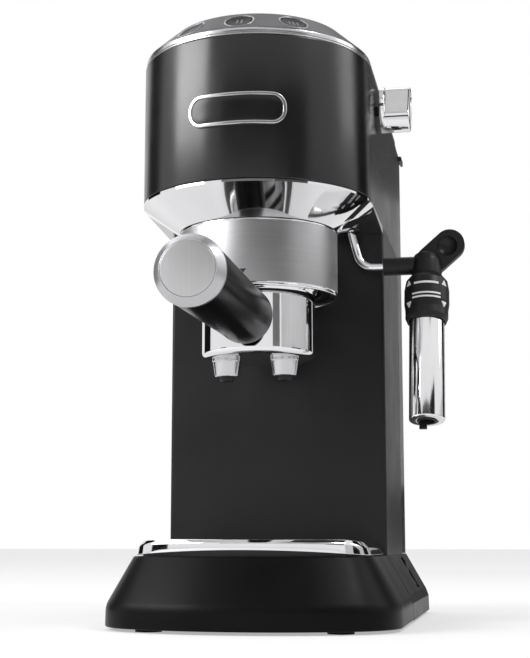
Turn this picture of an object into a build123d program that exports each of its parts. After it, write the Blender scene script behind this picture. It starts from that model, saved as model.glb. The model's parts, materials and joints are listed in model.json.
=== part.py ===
"""Pump espresso machine for a kitchen counter, built as separate named pieces.

Millimetres. X to the right, Y to the back, Z up. The origin lies on the counter, on the brew axis.
"""
import os
from math import atan2, cos, degrees, hypot, pi, sin, sqrt
from build123d import *

# Envelope of the body
HEAD_R = 60.7
SHEET = 1.2
COL_Y = 54.0
COL_DEPTH = 94.2
COLUMN_H = 182.4
HEAD_H = 73.8
SEAM = 0.4
CLEAR = 0.3
FIT = 0.06
OVER = 5.0

# Base and drip tray
BASE_W = 74.5
BASE_FRONT = -61.0
BASE_ARC = 118.0
BASE_CORNER = 37.0
BASE_Z0 = 1.5
BASE_Z1 = 36.0
BASE_SHOULDER = 12.6
BASE_WALL = 2.4
FOOT_H = 2.2
FOOT_R = 6.5
PLATE_T = 2.0
LEDGE_DROP = 2.8
LEDGE_T = 1.8
RIM_H = 8.0
RIM_LEAN = 1.5
RIM_LIFT = 2.7
GRILLE_T = 1.8
SLOT_W = 6.0
SLOT_PITCH = 12.0

# Water tank
TANK_DEPTH = 30.2
TANK_GAP = 0.6
TANK_WALL = 2.0
LID_T = 3.6
OUTLET_R = 6.1

# Top of the head
TRIM_H = 3.8
PANEL_RISE = 12.3
PANEL_RUN = 13.8
PANEL_T = 2.2
BUTTON_R = 6.5
BUTTON_STEP = 30.3
BUTTON_TRAVEL = 1.0
CUP_PLATE_T = 1.8

# Brew group, heights hang from the head
SKIRT_DROP = 14.8
SKIRT_RIM = 1.7
SKIRT_T = 1.8
WEDGE_DROP = 3.0
RING_R = 41.6
RING_H = 34.8
RING_WALL = 1.6
GASKET_H = 6.1
LUG_R = 37.4
LUG_H = 3.4
LOCK_TURN = 45.0

# Portafilter
PF_R = 29.6
PF_DROP = 32.1
BASKET_R = 25.5
BASKET_DEEP = 25.0
BASKET_T = 1.0
HANDLE_DROP = 14.6
HANDLE_R = 14.3
HANDLE_LEN = 114.0
HANDLE_GAP = 6.4
END_R = 15.6
END_LEN = 6.5
SPOUT_X = 15.2
SPOUT_Y = -8.0
SPOUT_R = 7.6
SPOUT_END = 6.1
SPOUT_H = 9.7
TIP_R = 3.7
TIP_BORE = 1.8
TIP_H = 2.6

# Steam knob, valve and wand
KNOB_Y = 32.6
KNOB_BELOW = 13.7
KNOB_R = 12.6
KNOB_DISC = 3.2
KNOB_LEN = 16.6
KNOB_BAR = 29.0
KNOB_BAR_W = 14.0
SPINDLE_R = 3.0
SPINDLE_DEEP = 14.0
BALL_R = 5.0
BALL_IN = 18.2
SOCKET_T = 1.7
SOCKET_WALL = 0.8
ARM_DROP = 24.1
TUBE_R = 2.4
WAND_OUT = 24.6
WAND_TILT = 14.0
ARM_R = 5.0
SELECTOR_R = 12.2
SLEEVE_R = 9.5
SLEEVE_LEN = 59.4
MOUTH_R = 5.2
NOZZLE_R = 6.0

# Works inside
PUMP_R = 23.0
PUMP_H = 54.0
HOSE_R = 3.4
BLOCK_H = 34.6

# Levels and places that follow from the values above
HEAD_Z0 = BASE_Z1 + COLUMN_H
HEAD_Z1 = HEAD_Z0 + HEAD_H
TRIM_Z1 = HEAD_Z1 + TRIM_H
PANEL_Z1 = TRIM_Z1 + PANEL_RISE
SEAM_Y = COL_Y + COL_DEPTH
TANK_Y0 = SEAM_Y + TANK_GAP
BACK_Y = TANK_Y0 + TANK_DEPTH
IN_R = HEAD_R - SHEET
PLATE_Z1 = FOOT_H + PLATE_T
RING_Z1 = HEAD_Z0 - SKIRT_DROP
SKIRT_Z = HEAD_Z0 - SKIRT_RIM
WEDGE_Z = SKIRT_Z - WEDGE_DROP
RING_Z0 = RING_Z1 - RING_H
GASKET_Z0 = RING_Z0 + 14.3
BLOCK_Z0 = GASKET_Z0 + GASKET_H
DECK_T = 3.0
DECK_Z1 = HEAD_Z0 + DECK_T
KNOB_Z = HEAD_Z1 - KNOB_BELOW
PF_Z0 = RING_Z0 - PF_DROP
PF_TOP = GASKET_Z0 - 0.1 - BASKET_T
HANDLE_Z = RING_Z0 - HANDLE_DROP
BASE_TOP_IN = BASE_W - HEAD_R + 0.1
BALL_X = HEAD_R - BALL_IN
SOCKET_R = BALL_R + SOCKET_T
BALL_Y = COL_Y - SOCKET_R - SOCKET_WALL
BALL_Z = HEAD_Z0 - 0.9
ARM_Z = BALL_Z - ARM_DROP
WAND_X = HEAD_R + WAND_OUT
FAR = 2 * BASE_W
BOTTOM = (Align.CENTER, Align.CENTER, Align.MIN)


def cyl(r, z0, z1, x=0.0, y=0.0):
    return Pos(x, y, z0) * Cylinder(r, z1 - z0, align=BOTTOM)


def tube(ro, ri, z0, z1, x=0.0, y=0.0):
    return cyl(ro, z0, z1, x, y) - cyl(ri, z0 - 1, z1 + 1, x, y)


def cone(r0, r1, z0, z1, x=0.0, y=0.0):
    return Pos(x, y, z0) * Cone(r0, r1, z1 - z0, align=BOTTOM)


def cyl_x(r, x0, x1, y, z):
    return Pos(x0, y, z) * Rot(0, 90, 0) * Cylinder(r, x1 - x0, align=BOTTOM)


def cyl_y(r, y0, y1, x, z):
    return Pos(x, y0, z) * Rot(-90, 0, 0) * Cylinder(r, y1 - y0, align=BOTTOM)


def box(x0, x1, y0, y1, z0, z1):
    return Pos((x0 + x1) / 2, (y0 + y1) / 2, (z0 + z1) / 2) * Box(x1 - x0, y1 - y0, z1 - z0)


def wide(y0, y1, z0=0.0, z1=60.0):
    """A slab wider than the machine, to keep or cut a stretch of depth."""
    return box(-FAR, FAR, y0, y1, z0, z1)


def spin(points):
    """A solid turned about Z from a closed outline of radius and height."""
    return revolve(make_face(Polyline(*[(r, 0, z) for r, z in points], close=True)), Axis.Z, 360)


def gather(shapes):
    out = shapes[0]
    for shape in shapes[1:]:
        out = out + shape
    return out


def u_face(r, back):
    """Plan of the head: a half circle at the front and straight sides."""
    edges = [Line((r, back), (r, 0)), ThreePointArc((r, 0), (0, -r), (-r, 0))]
    edges += [Line((-r, 0), (-r, back)), Line((-r, back), (r, back))]
    return make_face(edges)


def u_solid(r, back, z0, z1):
    return Pos(0, 0, z0) * extrude(u_face(r, back), z1 - z0)


def u_taper(r0, r1, back, z0, z1):
    return loft([Pos(0, 0, z0) * u_face(r0, back), Pos(0, 0, z1) * u_face(r1, back)], ruled=True)


ARC_Y = BASE_FRONT + BASE_ARC
CORNER_X = BASE_W - BASE_CORNER
CORNER_Y = ARC_Y - sqrt((BASE_ARC - BASE_CORNER) ** 2 - CORNER_X**2)


def d_half(inset, y):
    """Half the width of the base plan at one depth."""
    rc = BASE_CORNER - inset
    if y > CORNER_Y:
        return BASE_W - inset
    return CORNER_X + sqrt(max(rc**2 - (CORNER_Y - y) ** 2, 0.0))


def d_face(inset, back):
    """Plan of the base: a shallow front arc that runs through round corners into straight sides."""
    w = BASE_W - inset
    rc = BASE_CORNER - inset
    rf = BASE_ARC - inset
    cx, y1, cy = CORNER_X, CORNER_Y, ARC_Y
    a = atan2(y1 - cy, cx)
    tx, ty = rf * cos(a), cy + rf * sin(a)
    mx, my = cx + rc * cos(a / 2), y1 + rc * sin(a / 2)
    edges = [Line((w, back), (w, y1)), ThreePointArc((w, y1), (mx, my), (tx, ty))]
    edges += [ThreePointArc((tx, ty), (0, cy - rf), (-tx, ty))]
    edges += [ThreePointArc((-tx, ty), (-mx, my), (-w, y1)), Line((-w, y1), (-w, back))]
    edges += [Line((-w, back), (w, back))]
    return make_face(edges)


def d_solid(inset, back, z0, z1):
    return Pos(0, 0, z0) * extrude(d_face(inset, back), z1 - z0)


def d_taper(inset0, inset1, back, z0, z1):
    return loft([Pos(0, 0, z0) * d_face(inset0, back), Pos(0, 0, z1) * d_face(inset1, back)], ruled=True)


BASE_STEPS = [(BASE_Z0, 0.0), (BASE_SHOULDER - 2.1, 0.2), (BASE_SHOULDER + 2.4, 1.9), (BASE_Z1, BASE_TOP_IN)]


def base_block(extra, z0, z1):
    """The outer form of the base between two heights, drawn in by a wall."""
    slabs = []
    for (za, ia), (zb, ib) in zip(BASE_STEPS, BASE_STEPS[1:]):
        lo, hi = max(za, z0), min(zb, z1)
        if hi - lo < 0.01:
            continue
        i0 = ia + (ib - ia) * (lo - za) / (zb - za)
        i1 = ia + (ib - ia) * (hi - za) / (zb - za)
        slabs.append(d_taper(i0 + extra, i1 + extra, BACK_Y + 40, lo, hi))
    return gather(slabs)


def hose(points, r, bend):
    """A round tube laid along a path whose corners are rounded."""
    path = FilletPolyline(*points, radius=bend)
    return sweep(Plane(origin=path @ 0, z_dir=path % 0) * Circle(r), path=path)


nodes = {}

# Base: rear housing, the floor plate that reaches under the tray, and the feet
SEAT_Y = (TANK_Y0 + BACK_Y) / 2 - 1.6
SEAT_R = OUTLET_R + 4.9
GLAND_X = -40.0
GLAND_Z = 18.0
GLAND_R = 6.0
ROOF_Z = BASE_Z1 - BASE_WALL
PLATE_SLOT = PLATE_Z1 + 0.2
SHAFT_X = 44.0
SHAFT_IN = 12.0
housing = base_block(0.0, BASE_Z0, BASE_Z1) & wide(COL_Y, BACK_Y)
housing -= base_block(BASE_WALL, BASE_Z0, ROOF_Z) & wide(COL_Y + BASE_WALL, BACK_Y - BASE_WALL)
plate_way = d_solid(BASE_WALL + 2 * CLEAR, BACK_Y, 0, PLATE_SLOT)
housing -= plate_way & wide(COL_Y - OVER, COL_Y + OVER, 0, PLATE_SLOT)
housing -= box(-SHAFT_X, SHAFT_X, COL_Y + SHAFT_IN, SEAM_Y - SHAFT_IN, ROOF_Z - OVER, BASE_Z1 + OVER)
housing -= cyl(SEAT_R, ROOF_Z - OVER, BASE_Z1 + OVER, 0, SEAT_Y)
housing -= cyl_y(GLAND_R, BACK_Y - OVER, BACK_Y + OVER, GLAND_X, GLAND_Z)

# Power switch in the right-hand slope of the base
(SL_Z0, SL_I0), (SL_Z1, SL_I1) = BASE_STEPS[-2:]
SLOPE = degrees(atan2(SL_I1 - SL_I0, SL_Z1 - SL_Z0))
SWITCH_Y = COL_Y + 77.0
SWITCH_L = 20.0
SWITCH_W = 13.0
slope_mid = Pos(BASE_W - (SL_I0 + SL_I1) / 2, SWITCH_Y, (SL_Z0 + SL_Z1) / 2) * Rot(0, 90 - SLOPE, 0)
housing -= slope_mid * Box(SWITCH_L, SWITCH_W, 30)
SWITCH_SINK = 1.0
SWITCH_DEEP = 12.0
SWITCH_WALL = 1.2
switch_body = Pos(0, 0, -SWITCH_SINK - SWITCH_DEEP / 2) * Box(SWITCH_L, SWITCH_W, SWITCH_DEEP)
switch_body -= Pos(0, 0, -3.4) * Box(SWITCH_L - 2 * SWITCH_WALL, SWITCH_W - 2 * SWITCH_WALL, 9.0)
for side in (-1, 1):
    switch_body += Pos(side * 6, 0, -SWITCH_SINK - SWITCH_DEEP - 2.5) * Box(1.0, 5.0, 5.0)
ROCKER_DROP = 2.2
PIVOT_R = 1.0
switch_body -= cyl_y(PIVOT_R + FIT, 0.4 - SWITCH_W / 2, SWITCH_W / 2 - 0.4, 0, -ROCKER_DROP)
nodes["switch_body"] = slope_mid * switch_body
ROCK = SWITCH_L / 2 - 2.0
ROCK_IN = ROCK - 1.4
rocker_line = Polyline((-ROCK, 0.6), (0, -0.8), (ROCK, 0.6), (ROCK_IN, -3.4), (-ROCK_IN, -3.4), close=True)
rocker_face = make_face(rocker_line)
rocker = extrude(Plane.XZ * rocker_face, SWITCH_W / 2 - 1.8, both=True)
rocker += cyl_y(PIVOT_R, 0.6 - SWITCH_W / 2, SWITCH_W / 2 - 0.6, 0, -ROCKER_DROP)
nodes["power_rocker"] = slope_mid * Pos(0, 0, -ROCKER_DROP) * Rot(0, 7, 0) * Pos(0, 0, ROCKER_DROP) * rocker

plate = d_solid(BASE_WALL + 1.2, BACK_Y - BASE_WALL - 0.6, FOOT_H, PLATE_Z1)
FOOT_IN = 14.5
PEG_R = 2.4
FOOT_SPOTS = [(-47.0, BASE_FRONT + 23), (47.0, BASE_FRONT + 23), (0.0, 0.0)]
FOOT_SPOTS += [(-BASE_W + FOOT_IN, BACK_Y - 15), (BASE_W - FOOT_IN, BACK_Y - 15)]
feet = []
for fx, fy in FOOT_SPOTS:
    feet.append(cyl(FOOT_R, 0, FOOT_H, fx, fy) + cyl(PEG_R, FOOT_H, PLATE_Z1, fx, fy))
    plate -= cyl(PEG_R, 0, PLATE_Z1 + OVER, fx, fy)
nodes["feet"] = gather(feet)
SCREW_R = 1.5
BOSS_R = 4.0
SCREW_X = BASE_W - 17.5
screws = []
for sx in (-SCREW_X, SCREW_X):
    for sy in (COL_Y + 22, SEAM_Y + 2):
        rib = box(*sorted((sx, sx + (14 if sx > 0 else -14))), sy - 1, sy + 1, 12, ROOF_Z)
        housing += rib & base_block(BASE_WALL / 2, BASE_Z0, BASE_Z1)
        housing += cyl(BOSS_R, PLATE_Z1, ROOF_Z + 1, sx, sy)
        housing -= cyl(SCREW_R, 0, 16, sx, sy)
        plate -= cyl(SCREW_R, 0, PLATE_Z1 + 1, sx, sy)
        screws.append(cyl(SCREW_R, FOOT_H, 14, sx, sy) + cyl(2 * SCREW_R, FOOT_H - 1, FOOT_H, sx, sy))
nodes["floor_screws"] = gather(screws)
nodes["base_plate"] = plate
nodes["base_housing"] = housing

# Drip tray: the front of the base, with the well, the ledge for the grille and the floor pocket
LEDGE_Z = BASE_Z1 - LEDGE_DROP
FRAME_IN = BASE_TOP_IN + 4.6
OPEN_IN = FRAME_IN + 2.1
TRAY_FLOOR = PLATE_SLOT + BASE_WALL
TRAY_Y1 = COL_Y - CLEAR
tray = base_block(0.0, BASE_Z0, BASE_Z1) & wide(-FAR, TRAY_Y1)
tray -= base_block(BASE_WALL, TRAY_FLOOR, LEDGE_Z - LEDGE_T) & wide(-FAR, TRAY_Y1 - BASE_WALL)
tray -= d_solid(OPEN_IN, TRAY_Y1 - BASE_WALL - 0.4, TRAY_FLOOR + 10, BASE_Z1 + OVER)
tray -= d_solid(FRAME_IN - 1.0, TRAY_Y1 - 0.7, LEDGE_Z, BASE_Z1 + OVER)
tray -= d_solid(BASE_WALL, BACK_Y, 0, PLATE_SLOT) & wide(-FAR, COL_Y + OVER)
FLOAT_Y = TRAY_Y1 - BASE_WALL - 10.5
FLOAT_R = 7.0
FLOAT_STEM = 2.6
tray += tube(FLOAT_R + CLEAR + 1.4, FLOAT_R + CLEAR, TRAY_FLOOR, TRAY_FLOOR + 4, 0, FLOAT_Y)
nodes["drip_tray"] = tray
GRILLE_Z1 = BASE_Z1 + RIM_H - 2.0
FRAME_Y1 = COL_Y - 2.0
FLOAT_Z1 = TRAY_FLOOR + 8.0
tray_float = cyl(FLOAT_R, TRAY_FLOOR + CLEAR, FLOAT_Z1, 0, FLOAT_Y)
nodes["tray_float"] = tray_float + cyl(FLOAT_STEM, FLOAT_Z1, GRILLE_Z1 + 0.6, 0, FLOAT_Y)

# Cup grille: black slotted frame carried on the ledge, and the bright rim that caps it
grille = d_solid(FRAME_IN, FRAME_Y1, LEDGE_Z, GRILLE_Z1)
grille -= d_solid(OPEN_IN, FRAME_Y1 - 2.2, 0, GRILLE_Z1 - GRILLE_T)
SLOT_ROWS = 6
SLOT_MARGIN = 3.0
for row in range(SLOT_ROWS):
    y1 = FLOAT_Y - FLOAT_STEM - 4.0 - row * SLOT_PITCH
    half = d_half(OPEN_IN + SLOT_MARGIN, y1 - SLOT_W)
    for side in (-1, 1):
        grille -= box(*sorted((side * 2.0, side * half)), y1 - SLOT_W, y1, GRILLE_Z1 - OVER, GRILLE_Z1 + OVER)
grille -= cyl(FLOAT_STEM + 1.2, GRILLE_Z1 - OVER, GRILLE_Z1 + OVER, 0, FLOAT_Y)
nodes["cup_grille"] = grille
RIM_Z0 = BASE_Z1 + CLEAR
RIM_Z1 = RIM_Z0 + RIM_H
RIM_IN = BASE_TOP_IN + 1.0
RIM_Y1 = COL_Y - 1.0
RIM_EDGE = 2.5
RIM_ROLL = RIM_Z1 - 2.2
rim = d_taper(RIM_IN, RIM_IN + RIM_LEAN, RIM_Y1, RIM_Z0, RIM_ROLL)
rim += d_taper(RIM_IN + RIM_LEAN, RIM_IN + RIM_LEAN + RIM_EDGE, RIM_Y1, RIM_ROLL, RIM_Z1)
rim -= d_solid(FRAME_IN, FRAME_Y1, 0, GRILLE_Z1)
rim -= d_solid(FRAME_IN + RIM_EDGE, FRAME_Y1 - RIM_EDGE, 0, RIM_Z1 + OVER)
ARCH_HALF = BASE_W - RIM_IN
ARCH_R = (ARCH_HALF**2 + RIM_LIFT**2) / (2 * RIM_LIFT)
arch = cyl_y(ARCH_R, -FAR, COL_Y - 44, 0, RIM_Z0 + RIM_LIFT - ARCH_R)
nodes["tray_rim"] = rim - arch

# Column sheet and head sheet
column = box(-HEAD_R, HEAD_R, COL_Y, SEAM_Y, BASE_Z1, HEAD_Z0 - SEAM)
column -= box(-IN_R, IN_R, COL_Y + SHEET, SEAM_Y + OVER, BASE_Z1 - OVER, HEAD_Z0 + OVER)
nodes["column_shell"] = column
head = u_solid(HEAD_R, SEAM_Y, HEAD_Z0, HEAD_Z1) - u_solid(IN_R, SEAM_Y + OVER, HEAD_Z0 - 1, HEAD_Z1 + 1)
head -= cyl_x(SPINDLE_R + 1.0, IN_R - OVER, HEAD_R + OVER, KNOB_Y, KNOB_Z)
nodes["head_shell"] = head

# Back frame and the deck that carries the brew group
FRAME_T = 4.0
POST = 8.0
FRAME_Y = SEAM_Y - FRAME_T
frame = box(-IN_R, IN_R, FRAME_Y, SEAM_Y, BASE_Z1, HEAD_Z1)
WINDOW_X = 46.0
WINDOW_RAIL = 14.0
frame -= box(-WINDOW_X, WINDOW_X, FRAME_Y - 1, SEAM_Y + 1, HEAD_Z0 - 58, HEAD_Z0 - WINDOW_RAIL)
frame -= box(-WINDOW_X, WINDOW_X, FRAME_Y - 1, SEAM_Y + 1, HEAD_Z0 + WINDOW_RAIL, HEAD_Z1 - WINDOW_RAIL)
for side in (-1, 1):
    frame += box(*sorted((side * IN_R, side * (IN_R - POST))), FRAME_Y - POST, FRAME_Y, BASE_Z1, HEAD_Z1 - 4)
frame -= wide(FRAME_Y - POST - 1, FRAME_Y, HEAD_Z0, DECK_Z1)
nodes["back_frame"] = frame
deck = u_solid(IN_R, FRAME_Y, HEAD_Z0, DECK_Z1)
NECK_R = 33.6
deck -= cyl(NECK_R + 0.4, HEAD_Z0 - OVER, DECK_Z1 + OVER)
deck -= box(-SHAFT_X, SHAFT_X, COL_Y + SHAFT_IN, FRAME_Y - SHAFT_IN, HEAD_Z0 - OVER, DECK_Z1 + OVER)
deck -= cyl(SOCKET_R, HEAD_Z0 - OVER, DECK_Z1 + OVER, BALL_X, BALL_Y)
nodes["group_deck"] = deck

# Bright skirt under the head: rim, round cone, and corners that slope down to the column
SKIRT_Y1 = COL_Y - 0.1
RING_IN = RING_R - RING_WALL
FLOOR_Z = SKIRT_Z + 0.5
skirt = cone(RING_R, HEAD_R, RING_Z1, SKIRT_Z) & wide(-FAR, SKIRT_Y1, RING_Z1 - OVER, SKIRT_Z + OVER)
wedge = make_face(Polyline((0, SKIRT_Z), (SKIRT_Y1, SKIRT_Z), (SKIRT_Y1, WEDGE_Z), close=True))
skirt += u_solid(HEAD_R, SKIRT_Y1, SKIRT_Z, HEAD_Z0) + extrude(Plane.YZ * wedge, HEAD_R, both=True)
skirt -= u_solid(HEAD_R - SKIRT_T, SKIRT_Y1 - SKIRT_T, FLOOR_Z, HEAD_Z0 + 1)
hollow = cone(RING_IN, HEAD_R - 2 * SKIRT_T, RING_Z1, FLOOR_Z) + cyl(RING_IN, RING_Z1 - 1, RING_Z1)
skirt -= hollow & wide(-FAR, SKIRT_Y1 - SKIRT_T, RING_Z1 - OVER, FLOOR_Z + OVER)
skirt -= cyl(SOCKET_R, WEDGE_Z - OVER, HEAD_Z0 + OVER, BALL_X, BALL_Y)
nodes["chrome_skirt"] = skirt

# Brew group: shroud ring, bayonet collar, gasket, shower screen and its screw
LIP_T = 1.6
ring = tube(RING_R, RING_IN, RING_Z0, RING_Z1) + tube(RING_R, LUG_R + 1.0, RING_Z0, RING_Z0 + LIP_T)
nodes["brew_ring"] = ring
COLLAR_R = RING_IN - 0.1
GROOVE_R = LUG_R + 0.6
PF_FLANGE = PF_R + 2.7
LUG_Z1 = PF_TOP - 0.4
LUG_Z0 = LUG_Z1 - LUG_H
BORE_R = PF_FLANGE + 0.7
collar = tube(COLLAR_R, GROOVE_R, RING_Z0 + LIP_T, HEAD_Z0)
collar += tube(COLLAR_R - 0.5, BORE_R, RING_Z0 + LIP_T + 1.2, LUG_Z0 - CLEAR)
LUG_W = 12.0
for k in range(3):
    gate = box(-LUG_W / 2 - 2, LUG_W / 2 + 2, -GROOVE_R + 0.1, -BORE_R + 3, RING_Z0, LUG_Z0)
    collar -= Rot(0, 0, k * 120 - LOCK_TURN) * gate
collar += tube(COLLAR_R - 0.5, NECK_R, BLOCK_Z0, BLOCK_Z0 + 3.0)
nodes["bayonet_collar"] = collar
GASKET_IN = BASKET_R + 0.9
nodes["group_gasket"] = tube(PF_FLANGE - 0.3, GASKET_IN, GASKET_Z0, BLOCK_Z0)
SCREEN_R = GASKET_IN - 0.6
SCREEN_Z0 = GASKET_Z0 + 1.5
SCREEN_Z1 = SCREEN_Z0 + 1.2
SCREEN_BOLT = 2.0
BOLT_DEEP = 9.0
screen = cyl(SCREEN_R, SCREEN_Z0, SCREEN_Z1) + tube(SCREEN_R, SCREEN_R - 1.4, SCREEN_Z1, BLOCK_Z0)
screen -= cyl(SCREEN_BOLT, GASKET_Z0, BLOCK_Z0)
for share, count in ((0.31, 6), (0.58, 10), (0.81, 14)):
    for k in range(count):
        t = 2 * pi * k / count
        spot = Pos(share * SCREEN_R * cos(t), share * SCREEN_R * sin(t), (SCREEN_Z0 + SCREEN_Z1) / 2)
        screen -= spot * Rot(0, 0, degrees(t)) * Box(1.6, 1.6, 3)
nodes["shower_screen"] = screen
screw_head = cone(SCREEN_BOLT, 2.1 * SCREEN_BOLT, SCREEN_Z0 - 2.0, SCREEN_Z0)
nodes["screen_screw"] = cyl(SCREEN_BOLT, SCREEN_Z0, BLOCK_Z0 + BOLT_DEEP) + screw_head

# Thermoblock with its heater, thermostats and the ports of its tubes
VALVE_X = HEAD_R - 11.0
VALVE_LEN = 24.0
PORT_LEN = 6.0
PORT_R = 4.0
INLET_LEN = 8.0
STEAM_BEND = 6.0
STEAM_X = VALVE_X - VALVE_LEN - PORT_LEN - STEAM_BEND - 1.7
BLOCK_X = 34.0
BLOCK_FRONT = 34.0
BLOCK_Y1 = KNOB_Y + 5.4
BLOCK_Z1 = DECK_Z1 + BLOCK_H
FLANGE_R = 46.0
FLANGE_H = 14.6
PORT_Z = DECK_Z1 + 24.6
block = cyl(NECK_R, BLOCK_Z0, DECK_Z1 + 4.6) - cyl(SCREEN_R - 1.8, BLOCK_Z0 - OVER, BLOCK_Z0 + 1.8)
block -= cyl(SCREEN_BOLT, BLOCK_Z0 - OVER, BLOCK_Z0 + BOLT_DEEP)
block += cyl(FLANGE_R, DECK_Z1, DECK_Z1 + FLANGE_H)
block += box(-BLOCK_X, BLOCK_X, -BLOCK_FRONT, BLOCK_Y1, DECK_Z1 + FLANGE_H, BLOCK_Z1)
FIN_GAP = 5.0
for row in range(2):
    groove = 6.0 - BLOCK_FRONT + row * 13.0
    block -= box(-BLOCK_X + 4, BLOCK_X - 4, groove, groove + FIN_GAP, BLOCK_Z1 - 8, BLOCK_Z1 + 2)
block += cyl_y(2 * TUBE_R, BLOCK_Y1, BLOCK_Y1 + INLET_LEN, 0, PORT_Z)
block += cyl(PORT_R, BLOCK_Z1, BLOCK_Z1 + PORT_LEN, STEAM_X, KNOB_Y)
HEAT_R = 3.6
HEAT_Z = DECK_Z1 + FLANGE_H + HEAT_R + 1.4
HEAT_Y1 = BLOCK_Y1 - 44.0
hx = BLOCK_X + HEAT_R / 3
hy = BLOCK_FRONT + HEAT_R / 3
coil_path = [(-hx, BLOCK_Y1, HEAT_Z), (-hx, -hy, HEAT_Z), (hx, -hy, HEAT_Z), (hx, HEAT_Y1, HEAT_Z)]
coil = hose(coil_path, HEAT_R, 8.0)
nodes["thermoblock"] = block - coil
nodes["heater_tube"] = coil + cyl_y(1.6, BLOCK_Y1, BLOCK_Y1 + 7, -hx, HEAT_Z)
STAT_X = 18.0
STAT_Y = 4.0
STAT_Z1 = BLOCK_Z1 + 6.0
stats = []
for side in (-1, 1):
    stat = cyl(8.0, BLOCK_Z1, STAT_Z1, side * STAT_X, STAT_Y)
    for pin in (side * STAT_X - 3.0, side * STAT_X + 3.0):
        stat += box(pin - 0.8, pin + 0.8, STAT_Y - 2, STAT_Y + 2, STAT_Z1, STAT_Z1 + 6)
    stats.append(stat)
nodes["thermostats"] = gather(stats)

# Steam valve held to the side of the head, and the socket that holds the wand
VALVE_R = 10.0
VALVE_X0 = VALVE_X - VALVE_LEN
valve = box(VALVE_X0, VALVE_X, KNOB_Y - VALVE_R, KNOB_Y + VALVE_R, KNOB_Z - VALVE_R, KNOB_Z + VALVE_R)
valve += cyl_x(VALVE_R - 2, VALVE_X, IN_R, KNOB_Y, KNOB_Z)
valve += cyl_x(VALVE_R + 0.5, IN_R - 2.4, IN_R, KNOB_Y, KNOB_Z)
valve -= cyl_x(SPINDLE_R + FIT, VALVE_X - SPINDLE_DEEP - 2, HEAD_R, KNOB_Y, KNOB_Z)
STEAM_Z = KNOB_Z - VALVE_R - PORT_LEN
valve += cyl(PORT_R, STEAM_Z, KNOB_Z - VALVE_R, BALL_X, KNOB_Y)
valve += cyl_x(PORT_R, VALVE_X0 - PORT_LEN, VALVE_X0, KNOB_Y, KNOB_Z)
nodes["steam_valve"] = valve
SOCKET_Z1 = DECK_Z1 + 3.0
SPIGOT_Z = SOCKET_Z1 + 7.0
socket = cyl(SOCKET_R + 3.1, DECK_Z1, SOCKET_Z1, BALL_X, BALL_Y)
socket += cyl(SOCKET_R, WEDGE_Z, SOCKET_Z1, BALL_X, BALL_Y) + cyl(PORT_R, SOCKET_Z1, SPIGOT_Z, BALL_X, BALL_Y)
socket -= Pos(BALL_X, BALL_Y, BALL_Z) * Sphere(BALL_R + 0.35)
socket -= cone(SOCKET_R - 0.4, TUBE_R + 1.0, WEDGE_Z - 0.6, BALL_Z - 3.0, BALL_X, BALL_Y)
nodes["wand_socket"] = socket

# Pump on its bracket, flow meter and hoses in the column
PUMP_Y = (COL_Y + FRAME_Y) / 2 - 4.0
PUMP_Z = BASE_Z1 + 48.0
PUMP_Z1 = PUMP_Z + PUMP_H
pump = cyl(PUMP_R, PUMP_Z, PUMP_Z1, 0, PUMP_Y)
PUMP_NECK = 8.0
PUMP_HEAD = 14.0
NIPPLE_R = 4.6
NIPPLE_LEN = 10.0
PUMP_IN = PUMP_Z - PUMP_NECK - NIPPLE_LEN
PUMP_OUT = PUMP_Z1 + PUMP_HEAD + NIPPLE_LEN
pump += cyl(PUMP_R - 7, PUMP_Z - PUMP_NECK, PUMP_Z, 0, PUMP_Y)
pump += cyl(PUMP_R - 10, PUMP_Z1, PUMP_Z1 + PUMP_HEAD, 0, PUMP_Y)
pump += cyl(NIPPLE_R, PUMP_IN, PUMP_Z - PUMP_NECK, 0, PUMP_Y)
pump += cyl(NIPPLE_R, PUMP_Z1 + PUMP_HEAD, PUMP_OUT, 0, PUMP_Y)
nodes["pump"] = pump
STRAP_T = 3.0
STRAP_X = PUMP_R - 9.0
bracket = box(3.0 - PUMP_R, PUMP_R - 3.0, FRAME_Y - STRAP_T, FRAME_Y, PUMP_Z, PUMP_Z1)
for strap_z in (PUMP_Z + 8.0, PUMP_Z1 - 8.0 - STRAP_T):
    arm = box(-STRAP_X, STRAP_X, PUMP_Y, FRAME_Y - STRAP_T / 2, strap_z, strap_z + STRAP_T)
    bracket += arm - cyl(PUMP_R, strap_z - OVER, strap_z + OVER, 0, PUMP_Y)
    bracket += tube(PUMP_R + 2.6, PUMP_R, strap_z, strap_z + STRAP_T, 0, PUMP_Y)
nodes["pump_bracket"] = bracket
METER_X = -36.0
METER_Y = FRAME_Y - 26.0
METER_Z = BASE_Z1 + 14.0
METER_R = 13.0
METER_H = 16.0
METER_OUT = METER_X + METER_R + 9.0
SHELF_T = 3.4
feed_z = METER_Z + METER_H / 2
meter = cyl(METER_R, METER_Z, METER_Z + METER_H, METER_X, METER_Y)
meter += cyl_x(HOSE_R + 0.2, METER_X + METER_R - 1.0, METER_OUT, METER_Y, feed_z)
meter += box(METER_X - METER_R - 1, METER_X + METER_R + 1, METER_Y - 10, FRAME_Y, METER_Z - SHELF_T, METER_Z)
nodes["flow_meter"] = meter
SEAT_Z0 = BASE_Z1 - 12.0
HOSE_Z = PLATE_Z1 + HOSE_R + 4.0
suction = [(0, SEAT_Y, SEAT_Z0), (0, SEAT_Y, HOSE_Z), (METER_X, SEAT_Y, HOSE_Z), (METER_X, METER_Y, HOSE_Z)]
suction += [(METER_X, METER_Y, METER_Z - SHELF_T)]
feed = [(METER_OUT, METER_Y, feed_z), (0, METER_Y, feed_z), (0, PUMP_Y, feed_z), (0, PUMP_Y, PUMP_IN)]
nodes["water_hoses"] = hose(suction, HOSE_R, 8.0) + hose(feed, HOSE_R, 5.0)
rise = [(0, PUMP_Y, PUMP_OUT), (0, PUMP_Y, PORT_Z), (0, BLOCK_Y1 + INLET_LEN, PORT_Z)]
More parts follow.
